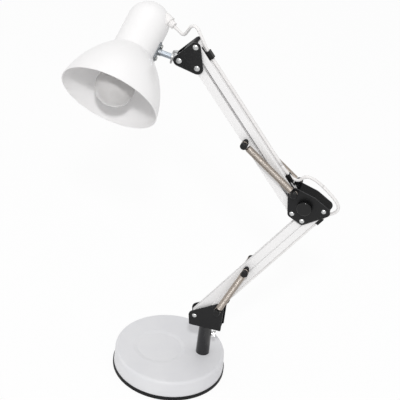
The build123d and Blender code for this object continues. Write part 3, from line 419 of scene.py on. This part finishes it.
@dataclass(frozen=True)
class FrostedGlass(Finish):
    """Glass etched on its inside: light comes through blurred, and the smooth outside shines at its outline."""

    # Real frost is finer than a tenth of a millimetre and is drawn coarser, so that it shows.
    frost_mm: float = 0.4
    frost_depth_mm: float = 0.01
    edge_mm: float = 0.2
    patch_mm: float = 15.0
    through: float = 0.35
    gloss: float = 1.0
    gloss_rough: float = 0.08

    def build(self) -> bpy.types.Material:
        """Returns: the finished material."""
        material, shader, where = self.start()
        tree = material.node_tree
        self.mottle(tree, shader, where, self.patch_mm)
        shader.inputs["Transmission Weight"].default_value = self.through
        shader.inputs["IOR"].default_value = 1.5
        shader.inputs["Coat Weight"].default_value = self.gloss
        shader.inputs["Coat Roughness"].default_value = self.gloss_rough
        frost = add_node(
            tree, "ShaderNodeTexNoise", {"Vector": where, "Scale": per_metre(self.frost_mm), "Detail": 2.0}
        )
        self.surface(tree, shader, frost.outputs["Fac"], self.frost_depth_mm, self.edge_mm)
        return material


# Powder coat on the pressed base: pale grey, with a satin sheen that softens every reflection.
BASE_COAT = PowderCoat("powder_coated_steel_pale_grey", "#E6E6E8", "#E1E1E4", 0.38, 0.48, specular=0.3)
# Extruded rubber of the rim: dark, dull, with no clear highlight.
RIM_RUBBER = MouldedPlastic(
    "extruded_rubber_black", "#121213", "#19191A", 0.55, 0.7, specular=0.2, grain_mm=0.5, grain_depth_mm=0.03
)
# Foam rubber pad under the base: open grain, quite matt.
PAD_RUBBER = MouldedPlastic("foam_rubber_black", "#202022", "#2B2B2D", 0.8, 0.92, grain_mm=0.8, grain_depth_mm=0.08)
# Sand cast iron of the ballast: dark grey and pitted.
CAST_IRON = CastMetal("sand_cast_iron", "#55534F", "#403E3B", 0.55, 0.75, metallic=0.8)
# Zinc plated bolts: bright with a faint blue.
BOLT_ZINC = PlatedMetal("zinc_plated_steel_bolt", "#BFC3C6", "#A9ADB0", 0.28, 0.4, metallic=1.0)
# Stoved black paint on the plates: deep black with a narrow soft painted highlight along the edges, where the coat
# is also rubbed thin.
BLACK_COAT = PowderCoat(
    "stoved_black_enamel",
    "#19191A",
    "#1F1F20",
    0.34,
    0.46,
    specular=0.22,
    peel_mm=0.9,
    edge_mm=0.6,
    # Paler colour painted along the edges: painted highlight and coat rubbed thin.
    edge_wear_and_highlight="#77777A",
    inside_mm=10.6,
)
# Stoved black paint on the elbow cover: flat, with little gloss, and darker than the plates as painted shade, where
# the cover lies in shadow between them.
SHADED_COVER_COAT = PowderCoat("stoved_black_enamel_shaded", "#0B0B0C", "#101011", 0.5, 0.62, specular=0.08, peel_mm=0.9)
# Glossy black paint on the post: dark, with clear highlights down its sides.
POST_COAT = PowderCoat("stoved_black_enamel_gloss", "#18181A", "#1E1E20", 0.12, 0.2, specular=0.5, peel_mm=2.0)
# Natural nylon of the bush: milky and waxy.
NYLON = MouldedPlastic("moulded_nylon_natural", "#E3DFD3", "#D9D4C6", 0.4, 0.5)
# Powder coat on the bars: clean white with a smooth gloss.
BAR_COAT = PowderCoat(
    "powder_coated_steel_white", "#F3F2F2", "#EFEEEE", 0.32, 0.42, specular=0.3, peel_mm=1.2, peel_depth_mm=0.008
)
# Moulded polyamide of pegs, knob and clips: black with a low gloss.
BLACK_PLASTIC = MouldedPlastic("moulded_polyamide_black", "#131314", "#1A1A1B", 0.34, 0.48, specular=0.25)
# Polished polyamide of the knob: black, with a clear highlight where it turns over its edge.
KNOB_PLASTIC = MouldedPlastic(
    "moulded_polyamide_polished", "#0D0D0E", "#131314", 0.16, 0.24, specular=0.32, grain_mm=0.6, grain_depth_mm=0.004
)
# Nickel plated rivets and nuts: bright, slightly warm, with draw lines.
NICKEL = PlatedMetal("nickel_plated_steel", "#C9CACA", "#B9BABA", 0.2, 0.34, metallic=1.0)
# Die cast zinc of the saddle: a grey metal, softer and duller than the plated pieces.
DIE_CAST_ZINC = PlatedMetal("die_cast_zinc", "#9DA1A5", "#83878B", 0.34, 0.48, metallic=1.0, stretch=(1.0, 1.0, 1.0))
# Zinc plate on the screws of the saddle: grey, dulled by handling.
SCREW_ZINC = PlatedMetal("zinc_plated_steel_screw", "#A3A4A2", "#898B8A", 0.3, 0.42, metallic=1.0)
# Zinc plate on the stem: a cool grey metal with clear draw lines.
STEM_ZINC = PlatedMetal("zinc_plated_steel_stem", "#B4BBC3", "#A0A8B0", 0.2, 0.3, metallic=1.0)
# Bright nickel of the thumb screw: nearly white, with a soft shine; painted lighter than the other nickel as painted
# light, where the screw sits in the shade under the bracket.
THUMB_NICKEL_LIT = PlatedMetal("nickel_plated_steel_bright_lit", "#EDEDEC", "#E2E2E1", 0.3, 0.42, metallic=1.0)
# Oil tempered spring wire: warm grey metal, with painted shade on the flanks of the coils and a painted highlight
# along the side that faces the camera.
SPRING_WIRE = SpringWire("oil_tempered_spring_wire", "#9A9087", "#B1A89F", 0.34, 0.46, metallic=1.0)
# Sprayed enamel on the spun shade: bright white, smooth, with broad soft highlights.
SHADE_ENAMEL = PowderCoat(
    "sprayed_enamel_white",
    "#F3F2F2",
    "#F0EFEF",
    0.26,
    0.34,
    specular=0.35,
    peel_mm=2.2,
    peel_depth_mm=0.008,
    patch_mm=80.0,
)
# Pressed phenolic of the lampholder: black with a hard gloss.
PHENOLIC = MouldedPlastic("pressed_phenolic_black", "#1A1817", "#24211F", 0.22, 0.34)
# Pressed brass of the contact: yellow metal with tarnish spots.
BRASS = PlatedMetal("pressed_brass", "#C9A95A", "#A88A45", 0.25, 0.42, metallic=1.0)
# Etched bulb glass: pale grey and milky, with a thin bright line along its outline.
BULB_GLASS = FrostedGlass("etched_bulb_glass", "#E4E2E1", "#DAD8D7", 0.38, 0.5)
# Rolled aluminium of the bulb cap: pale matt metal.
CAP_ALUMINIUM = PlatedMetal("rolled_aluminium", "#CBCCCD", "#B9BABB", 0.3, 0.42, metallic=1.0)
# PVC sheath of the lead: white, waxy, with a faint ripple from the die.
LEAD_PVC = MouldedPlastic("extruded_pvc_white", "#F0EEED", "#E9E7E6", 0.34, 0.46, grain_mm=1.5, grain_depth_mm=0.02)

FINISHES: dict[Slot, Finish] = {
    Slot.BASE_PAINT: BASE_COAT,
    Slot.RIM_RUBBER: RIM_RUBBER,
    Slot.PAD_RUBBER: PAD_RUBBER,
    Slot.BALLAST: CAST_IRON,
    Slot.BOLT_STEEL: BOLT_ZINC,
    Slot.BLACK_PAINT: BLACK_COAT,
    Slot.NYLON: NYLON,
    Slot.BAR_PAINT: BAR_COAT,
    Slot.BLACK_PLASTIC: BLACK_PLASTIC,
    Slot.BRIGHT_STEEL: NICKEL,
    Slot.SPRING_STEEL: SPRING_WIRE,
    Slot.SHADE_PAINT: SHADE_ENAMEL,
    Slot.HOLDER_PLASTIC: PHENOLIC,
    Slot.BRASS: BRASS,
    Slot.BULB_FROST: BULB_GLASS,
    Slot.CAP_ALUMINIUM: CAP_ALUMINIUM,
    Slot.LEAD_PVC: LEAD_PVC,
    Slot.SADDLE_ZINC: DIE_CAST_ZINC,
}
NODE_FINISHES: dict[str, Finish] = {
    "elbow_cover": SHADED_COVER_COAT,
    "elbow_knob": KNOB_PLASTIC,
    "post": POST_COAT,
    "post_thumb_screw": THUMB_NICKEL_LIT,
    "saddle_screws": SCREW_ZINC,
    "stem_rod": STEM_ZINC,
}


class Wardrobe:
    """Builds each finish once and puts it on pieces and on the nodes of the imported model."""

    def __init__(self) -> None:
        """Builds every finish."""
        self.materials = {slot: finish.build() for slot, finish in FINISHES.items()}
        self.special = {node: finish.build() for node, finish in NODE_FINISHES.items()}

    def dress_frame(self) -> None:
        """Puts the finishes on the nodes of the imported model, slot by slot."""
        for name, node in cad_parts.items():
            for index, old in enumerate(node.data.materials):
                slot = Slot(old.name.split(".")[0])
                node.data.materials[index] = self.special.get(name, self.materials[slot])
            LOG.info("dressed %s", name)

    def dress(self, piece: bpy.types.Object, slot: Slot) -> bpy.types.Object:
        """Puts a finish on a new piece.

        Args:
            piece: the new piece.
            slot: the slot that it takes its finish from.

        Returns:
            The piece.
        """
        piece.data.materials.clear()
        piece.data.materials.append(self.materials[slot])
        return piece


def mesh_piece(name: str, bm: bmesh.types.BMesh, smooth: bool = True) -> bpy.types.Object:
    """Makes an object at the origin from a bmesh that is already in place.

    Args:
        name: name of the piece.
        bm: its geometry, which is freed.
        smooth: whether its faces are smooth shaded.

    Returns:
        The new object.
    """
    bmesh.ops.recalc_face_normals(bm, faces=bm.faces)
    for face in bm.faces:
        face.smooth = smooth
    mesh = bpy.data.meshes.new(name)
    bm.to_mesh(mesh)
    bm.free()
    piece = bpy.data.objects.new(name, mesh)
    bpy.context.scene.collection.objects.link(piece)
    LOG.info("built %s", name)
    return piece


def edges_of(geometry: Sequence) -> list[bmesh.types.BMEdge]:
    """Returns: the edges among some geometry."""
    return [item for item in geometry if isinstance(item, bmesh.types.BMEdge)]


def verts_of(geometry: Sequence) -> list[bmesh.types.BMVert]:
    """Returns: the vertices among some geometry."""
    return [item for item in geometry if isinstance(item, bmesh.types.BMVert)]


@dataclass
class TensionSpring:
    """One close wound tension spring between two pegs, with a round hook at each end."""

    name: str
    node: str
    foot: tuple[float, float]
    head: tuple[float, float]
    across: float
    anchor: str
    mover: str
    coil_radius: float = 5.5
    wire: float = 1.25
    pitch_share: float = 1.05
    leg: float = 5.2
    ring_points: int = 8
    steps_per_turn: int = 14
    follow_share: float = 0.38

    def ring(self, bm: bmesh.types.BMesh, place: Matrix) -> list[bmesh.types.BMEdge]:
        """Adds one cross section of the wire.

        Args:
            bm: the geometry that gets it.
            place: where it lies; its own normal is Z.

        Returns:
            Its edges.
        """
        made = bmesh.ops.create_circle(bm, segments=self.ring_points, radius=self.wire / 2, matrix=place)
        return list({edge for vert in made["verts"] for edge in vert.link_edges})

    def pull(self, bm: bmesh.types.BMesh, ring: list, by: tuple[float, float, float]) -> list[bmesh.types.BMEdge]:
        """Extrudes a ring of edges and moves it.

        Args:
            bm: the geometry.
            ring: the edges.
            by: how far the new ring moves.

        Returns:
            The edges of the new ring.
        """
        geometry = bmesh.ops.extrude_edge_only(bm, edges=ring)["geom"]
        verts = verts_of(geometry)
        bmesh.ops.translate(bm, verts=verts, vec=by)
        kept = set(verts)
        return [e for e in edges_of(geometry) if e.verts[0] in kept and e.verts[1] in kept]

    def hook(self, bm: bmesh.types.BMesh, mean: float) -> list[bmesh.types.BMEdge]:
        """Adds the hook round the peg at the origin, opening along X.

        Args:
            bm: the geometry that gets it.
            mean: radius at the middle of the wire.

        Returns:
            The edges at its inner end.
        """
        place = Matrix.Translation((self.wire * 1.5, 0.0, -mean)) @ Matrix.Rotation(math.pi / 2, 4, "Y")
        ring = self.ring(bm, place)
        bmesh.ops.contextual_create(bm, geom=ring)
        ring = self.pull(bm, ring, (-self.wire * 1.5, 0.0, 0.0))
        turned = bmesh.ops.spin(
            bm,
            geom=ring + list({v for e in ring for v in e.verts}),
            cent=(0.0, 0.0, 0.0),
            axis=(0.0, 1.0, 0.0),
            angle=math.pi,
            steps=12,
        )
        return self.pull(bm, edges_of(turned["geom_last"]), (self.leg, 0.0, 0.0))

    def build(self) -> bpy.types.Object:
        """Returns: the spring, hooked on both pegs."""
        bm = bmesh.new()
        mean = self.coil_radius - self.wire / 2
        run = Vector((self.head[0] - self.foot[0], self.head[1] - self.foot[1]))
        first = self.leg + 2 * self.wire
        coiled = run.length - 2 * first
        turns = round(coiled / (self.wire * self.pitch_share))
        near = self.hook(bm, mean)
        start = self.ring(bm, Matrix.Translation((first, 0.0, mean)) @ Matrix.Rotation(math.pi / 2, 4, "X"))
        coil = bmesh.ops.spin(
            bm,
            geom=start + list({v for e in start for v in e.verts}),
            cent=(0.0, 0.0, 0.0),
            axis=(1.0, 0.0, 0.0),
            dvec=(coiled / turns / self.steps_per_turn, 0.0, 0.0),
            angle=2 * math.pi * turns,
            steps=turns * self.steps_per_turn,
        )
        bmesh.ops.bridge_loops(bm, edges=near + start)
        before = set(bm.verts)
        last = edges_of(coil["geom_last"])
        end = self.hook(bm, mean)
        added = [v for v in bm.verts if v not in before]
        bmesh.ops.rotate(bm, verts=added, cent=(0.0, 0.0, 0.0), matrix=Matrix.Rotation(math.pi, 3, "Z"))
        bmesh.ops.translate(bm, verts=added, vec=(run.length, 0.0, 0.0))
        bmesh.ops.bridge_loops(bm, edges=end + last)
        tilt = math.atan2(run.y, run.x)
        lay = Matrix.Translation((self.foot[0], self.across, self.foot[1])) @ Matrix.Rotation(-tilt, 4, "Y")
        bmesh.ops.transform(bm, matrix=arm_frame() @ lay, verts=bm.verts)
        return mesh_piece(self.name, bm)

    def mark_facing(self, mesh: bpy.types.Mesh, foot: Vector, head: Vector) -> None:
        """Stores how squarely each place on the coils faces the camera, which places the painted highlight and
        painted shade of the wire.

        Args:
            mesh: the finished spring.
            foot: its lower peg.
            head: its upper peg.
        """
        axis = (head - foot).normalized()
        camera_side = (TOWARDS_CAMERA - axis * TOWARDS_CAMERA.dot(axis)).normalized()
        layer = mesh.attributes.new(FACING, "FLOAT", "POINT")
        for vertex, value in zip(mesh.vertices, layer.data):
            out = vertex.co - foot
            value.value = max(0.0, (out - axis * out.dot(axis)).normalized().dot(camera_side))

    def dress(self, wardrobe: Wardrobe) -> None:
        """Builds and dresses the spring between its two pegs, and hides its node of the imported model.

        Args:
            wardrobe: the finishes.
        """
        piece = wardrobe.dress(self.build(), Slot.SPRING_STEEL)
        foot = arm_point(self.foot[0], self.across, self.foot[1])
        head = arm_point(self.head[0], self.across, self.head[1])
        self.mark_facing(piece.data, foot, head)
        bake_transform(piece)
        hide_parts(self.node)


@dataclass
class LeadStretch:
    """One stretch of the lead, with the bodies that it hangs between."""

    name: str
    corners: list[tuple[float, float, float]]
    bodies: tuple[str, ...]
    radius: float = 2.5
    ring_points: int = 12

    def route(self) -> list[Vector]:
        """Returns: points along the smooth spline of the stretch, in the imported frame."""
        curve = bpy.data.curves.new(self.name + "_route", "CURVE")
        curve.dimensions = "3D"
        spline = curve.splines.new("NURBS")
        spline.points.add(len(self.corners) - 1)
        for point, corner in zip(spline.points, self.corners):
            point.co = (*arm_point(*corner), 1.0)
        spline.order_u = 3
        spline.use_endpoint_u = True
        spline.resolution_u = 10
        holder = bpy.data.objects.new(self.name + "_route", curve)
        bpy.context.scene.collection.objects.link(holder)
        mesh = bpy.data.meshes.new_from_object(holder)
        points = [vertex.co.copy() for vertex in mesh.vertices]
        bpy.data.meshes.remove(mesh)
        bpy.data.objects.remove(holder)
        bpy.data.curves.remove(curve)
        return points

    def build(self) -> bpy.types.Object:
        """Returns: the sheath of the stretch as a closed tube."""
        curve = bpy.data.curves.new(self.name + "_sheath", "CURVE")
        curve.dimensions = "3D"
        curve.bevel_depth = self.radius * MM
        curve.bevel_resolution = self.ring_points // 4
        curve.use_fill_caps = True
        points = self.route()
        spline = curve.splines.new("POLY")
        spline.points.add(len(points) - 1)
        for point, place in zip(spline.points, points):
            point.co = (*place, 1.0)
        holder = bpy.data.objects.new(self.name + "_sheath", curve)
        bpy.context.scene.collection.objects.link(holder)
        mesh = bpy.data.meshes.new_from_object(holder)
        bpy.data.objects.remove(holder)
        bpy.data.curves.remove(curve)
        bm = bmesh.new()
        bm.from_mesh(mesh)
        bpy.data.meshes.remove(mesh)
        bmesh.ops.remove_doubles(bm, verts=bm.verts, dist=0.01 * MM)
        return mesh_piece(self.name + "_sheath", bm)

    def dress(self, wardrobe: Wardrobe) -> None:
        """Builds and dresses the stretch, and puts it on its body where it has only one; a stretch between two
        bodies stays in the imported frame.

        Args:
            wardrobe: the finishes.
        """
        piece = wardrobe.dress(self.build(), Slot.LEAD_PVC)
        if len(self.bodies) == 1:
            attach(piece, self.bodies[0])
        else:
            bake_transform(piece)
        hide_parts(self.name)


def along_bar(
    foot: tuple[float, float], angle: float, reach: float, back: float = 8.3
) -> tuple[float, float, float]:
    """Finds a place on the lead behind a rear bar.

    Args:
        foot: lower pivot of the bar.
        angle: rise of the bar in degrees.
        reach: way along the bar from that pivot.
        back: how far the lead lies behind the line of the pivots.

    Returns:
        The place as (along, across, up) in the arm plane.
    """
    c, s = math.cos(math.radians(angle)), math.sin(math.radians(angle))
    return (foot[0] + reach * c + back * s, 0.0, foot[1] + reach * s - back * c)


def midway(a: tuple[float, float, float], b: tuple[float, float, float]) -> tuple[float, float, float]:
    """Returns: the point halfway between two."""
    return tuple((p + q) / 2 for p, q in zip(a, b))


@dataclass
class Lead:
    """The lead from the dome of the shade along both rear bars."""

    lower_foot: tuple[float, float] = (11.9, 140.4)
    lower_angle: float = 56.6
    upper_foot: tuple[float, float] = (109.3, 386.75)
    upper_angle: float = 129.4
    gland: tuple[float, float, float] = (-118.6, 26.0, 614.0)
    sag: tuple[float, float, float] = (-102.5, 22.0, 605.1)
    valley: tuple[float, float, float] = (-91.3, 18.5, 598.7)
    climb: tuple[float, float, float] = (-84.9, 15.5, 609.2)
    arch: tuple[float, float, float] = (-79.4, 10.0, 621.3)
    crest: tuple[float, float, float] = (-69.5, 4.0, 625.0)
    slope: tuple[float, float, float] = (-60.5, 1.0, 612.5)
    over: tuple[float, float, float] = (129.0, 0.0, 425.0)
    side: tuple[float, float, float] = (180.0, 0.0, 387.0)
    turn: tuple[float, float, float] = (185.0, 0.0, 368.0)
    upper_ends: tuple[float, float] = (248.0, 46.0)
    upper_bends: tuple[float, float] = (262.0, 8.0)
    lower_ends: tuple[float, float] = (240.0, 12.0)
    lower_bend: float = 263.0

    def upper(self, reach: float) -> tuple[float, float, float]:
        """Returns: a place behind the upper rear bar."""
        return along_bar(self.upper_foot, self.upper_angle, reach)

    def lower(self, reach: float) -> tuple[float, float, float]:
        """Returns: a place behind the lower rear bar."""
        return along_bar(self.lower_foot, self.lower_angle, reach)

    def stretches(self) -> list[LeadStretch]:
        """Returns: the stretches in order from the shade; each joins the next in one smooth curve."""
        rise, fall = midway(self.valley, self.climb), midway(self.crest, self.slope)
        top, foot = (self.upper(reach) for reach in self.upper_ends)
        before, after = (self.upper(reach) for reach in self.upper_bends)
        middle = midway(self.over, self.side)
        start, end = (self.lower(reach) for reach in self.lower_ends)
        bend = self.lower(self.lower_bend)
        return [
            LeadStretch("lead_head_1", [self.gland, self.sag, self.valley, rise], ("head", "knuckle")),
            LeadStretch("lead_head_2", [rise, self.climb, self.arch, self.crest, fall], ("knuckle", "head_bracket")),
            LeadStretch("lead_head_3", [fall, self.slope, before, top], ("head_bracket", "upper_rear")),
            LeadStretch("lead_upper", [top, midway(top, foot), foot], ("upper_rear",)),
            LeadStretch("lead_elbow_1", [foot, after, self.over, middle], ("upper_rear", "elbow")),
            LeadStretch("lead_elbow_2", [middle, self.side, self.turn, bend, start], ("elbow", "lower_rear")),
            LeadStretch("lead_lower", [start, midway(start, end), end], ("lower_rear",)),
        ]

    def dress(self, wardrobe: Wardrobe) -> None:
        """Builds and dresses the whole lead.

        Args:
            wardrobe: the finishes.
        """
        for stretch in self.stretches():
            stretch.dress(wardrobe)


@dataclass
class Springs:
    """The four springs that balance the arm."""

    lower_foot: tuple[float, float] = (19.7, 140.1)
    lower_pin: tuple[float, float] = (56.5, 229.5)
    upper_foot: tuple[float, float] = (114.3, 393.3)
    upper_pin: tuple[float, float] = (27.8, 459.1)
    across: float = 18.0

    def dress(self, wardrobe: Wardrobe) -> None:
        """Builds and dresses all four.

        Args:
            wardrobe: the finishes.
        """
        pegs = {
            "lower": (self.lower_foot, self.lower_pin, "turret"),
            "upper": (self.upper_foot, self.upper_pin, "elbow"),
        }
        for side, across in (("near", -self.across), ("far", self.across)):
            for arm, (foot, pin, anchor) in pegs.items():
                name, node, mover = f"{arm}_spring_{side}", f"{arm}_springs", f"{arm}_front"
                TensionSpring(name, node, foot, pin, across, anchor, mover).dress(wardrobe)


@dataclass(frozen=True)
class Lamp:
    """One round, soft lamp: its place and width in metres and its power in watts."""

    name: str
    place: tuple[float, float, float]
    width: float
    power: float


@dataclass
class Studio:
    """Pale floor, soft light and the camera of the photograph."""

    pitch: float = 0.563912
    roll: float = 0.114467
    distance: float = 2.048807
    target: tuple[float, float, float] = (0.021945, 0.0, 0.337189)
    lens: float = 117.0
    floor_size: float = 12.0
    floor_glow: float = 0.92
    ambient: float = 0.6
    lamps: tuple[Lamp, ...] = (
        Lamp("key", (0.01, -2.0, 2.24), 0.25, 26.7),
        Lamp("top", (0.0, 0.3, 2.2), 1.6, 4.9),
        Lamp("left", (-1.8, -0.4, 0.9), 1.4, 2.6),
    )

    def camera(self) -> None:
        """Adds the camera at the photograph's viewing angle."""
        data = bpy.data.cameras.new("camera")
        data.lens = self.lens
        data.sensor_width = 36.0
        camera = bpy.data.objects.new("camera", data)
        bpy.context.scene.collection.objects.link(camera)
        tilt = Matrix.Rotation(math.pi / 2 - self.pitch, 4, "X") @ Matrix.Rotation(self.roll, 4, "Z")
        away = Vector((0.0, -math.cos(self.pitch), math.sin(self.pitch))) * self.distance
        camera.matrix_world = Matrix.Translation(Vector(self.target) + away) @ tilt
        bpy.context.scene.camera = camera

    def seen(self, tree: bpy.types.NodeTree) -> bpy.types.NodeSocket:
        """Finds the rays that show the background, straight or by way of metal or glass.

        Args:
            tree: the node tree that asks.

        Returns:
            A socket that is one for such a ray and nought for any other.
        """
        path = add_node(tree, "ShaderNodeLightPath")
        plain = add_node(
            tree,
            "ShaderNodeMath",
            {0: path.outputs["Is Camera Ray"], 1: path.outputs["Is Glossy Ray"]},
            operation="MAXIMUM",
        )
        either = add_node(
            tree,
            "ShaderNodeMath",
            {0: plain.outputs["Value"], 1: path.outputs["Is Transmission Ray"]},
            operation="MAXIMUM",
        )
        return either.outputs["Value"]

    def world(self) -> None:
        """Adds a white background that lights the object only softly."""
        world = bpy.data.worlds.new("studio")
        world.use_nodes = True
        tree = world.node_tree
        glow = tree.nodes["Background"]
        glow.inputs["Color"].default_value = (1.0, 1.0, 1.0, 1.0)
        strength = add_node(
            tree, "ShaderNodeMapRange", {"Value": self.seen(tree), "To Min": self.ambient, "To Max": 1.0}
        )
        tree.links.new(strength.outputs["Result"], glow.inputs["Strength"])
        bpy.context.scene.world = world

    def floor_material(self) -> bpy.types.Material:
        """Returns: a pale floor that stays white to the eye and keeps a soft shadow."""
        material = bpy.data.materials.new("studio_floor")
        material.use_nodes = True
        tree = material.node_tree
        paper = tree.nodes["Principled BSDF"]
        paper.inputs["Roughness"].default_value = 0.9
        paper.inputs["Specular IOR Level"].default_value = 0.0
        where = add_node(tree, "ShaderNodeTexCoord").outputs["Object"]
        fibre = add_node(tree, "ShaderNodeTexNoise", {"Vector": where, "Scale": per_metre(400.0), "Detail": 2.0})
        shade = add_node(
            tree, "ShaderNodeValToRGB", {"Fac": fibre.outputs["Fac"]}, stops=[(0.3, "#F9F9F9"), (0.7, "#FBFBFB")]
        )
        tree.links.new(shade.outputs["Color"], paper.inputs["Base Color"])
        white = add_node(tree, "ShaderNodeEmission", {"Color": (1.0, 1.0, 1.0, 1.0), "Strength": 1.0})
        share = add_node(
            tree, "ShaderNodeMath", {0: self.seen(tree), 1: self.floor_glow}, operation="MULTIPLY"
        )
        blend = add_node(
            tree,
            "ShaderNodeMixShader",
            {"Fac": share.outputs["Value"], 1: paper.outputs["BSDF"], 2: white.outputs["Emission"]},
        )
        tree.links.new(blend.outputs["Shader"], tree.nodes["Material Output"].inputs["Surface"])
        return material

    def floor(self) -> None:
        """Adds the floor under the base."""
        bm = bmesh.new()
        bmesh.ops.create_grid(bm, x_segments=1, y_segments=1, size=self.floor_size / 2)
        plate = mesh_piece("floor", bm, smooth=False)
        plate.data.materials.append(self.floor_material())

    def light(self) -> None:
        """Adds the soft lamps."""
        for lamp in self.lamps:
            data = bpy.data.lights.new(lamp.name, "AREA")
            data.shape = "DISK"
            data.size = lamp.width
            data.energy = lamp.power
            stand = bpy.data.objects.new(lamp.name, data)
            bpy.context.scene.collection.objects.link(stand)
            aim = Vector(self.target) - Vector(lamp.place)
            stand.matrix_world = Matrix.Translation(lamp.place) @ aim.to_track_quat("-Z", "Y").to_matrix().to_4x4()

    def build(self) -> None:
        """Sets up floor, light, background and camera."""
        self.floor()
        self.light()
        self.world()
        self.camera()
        bpy.context.scene.view_settings.view_transform = "Standard"


def main() -> None:
    """Builds and dresses the lamp, then the studio."""
    logging.basicConfig(level=logging.INFO, format="%(name)s: %(message)s")
    wardrobe = Wardrobe()
    wardrobe.dress_frame()
    Springs().dress(wardrobe)
    Lead().dress(wardrobe)
    Studio().build()


if __name__ == "__main__":
    main()
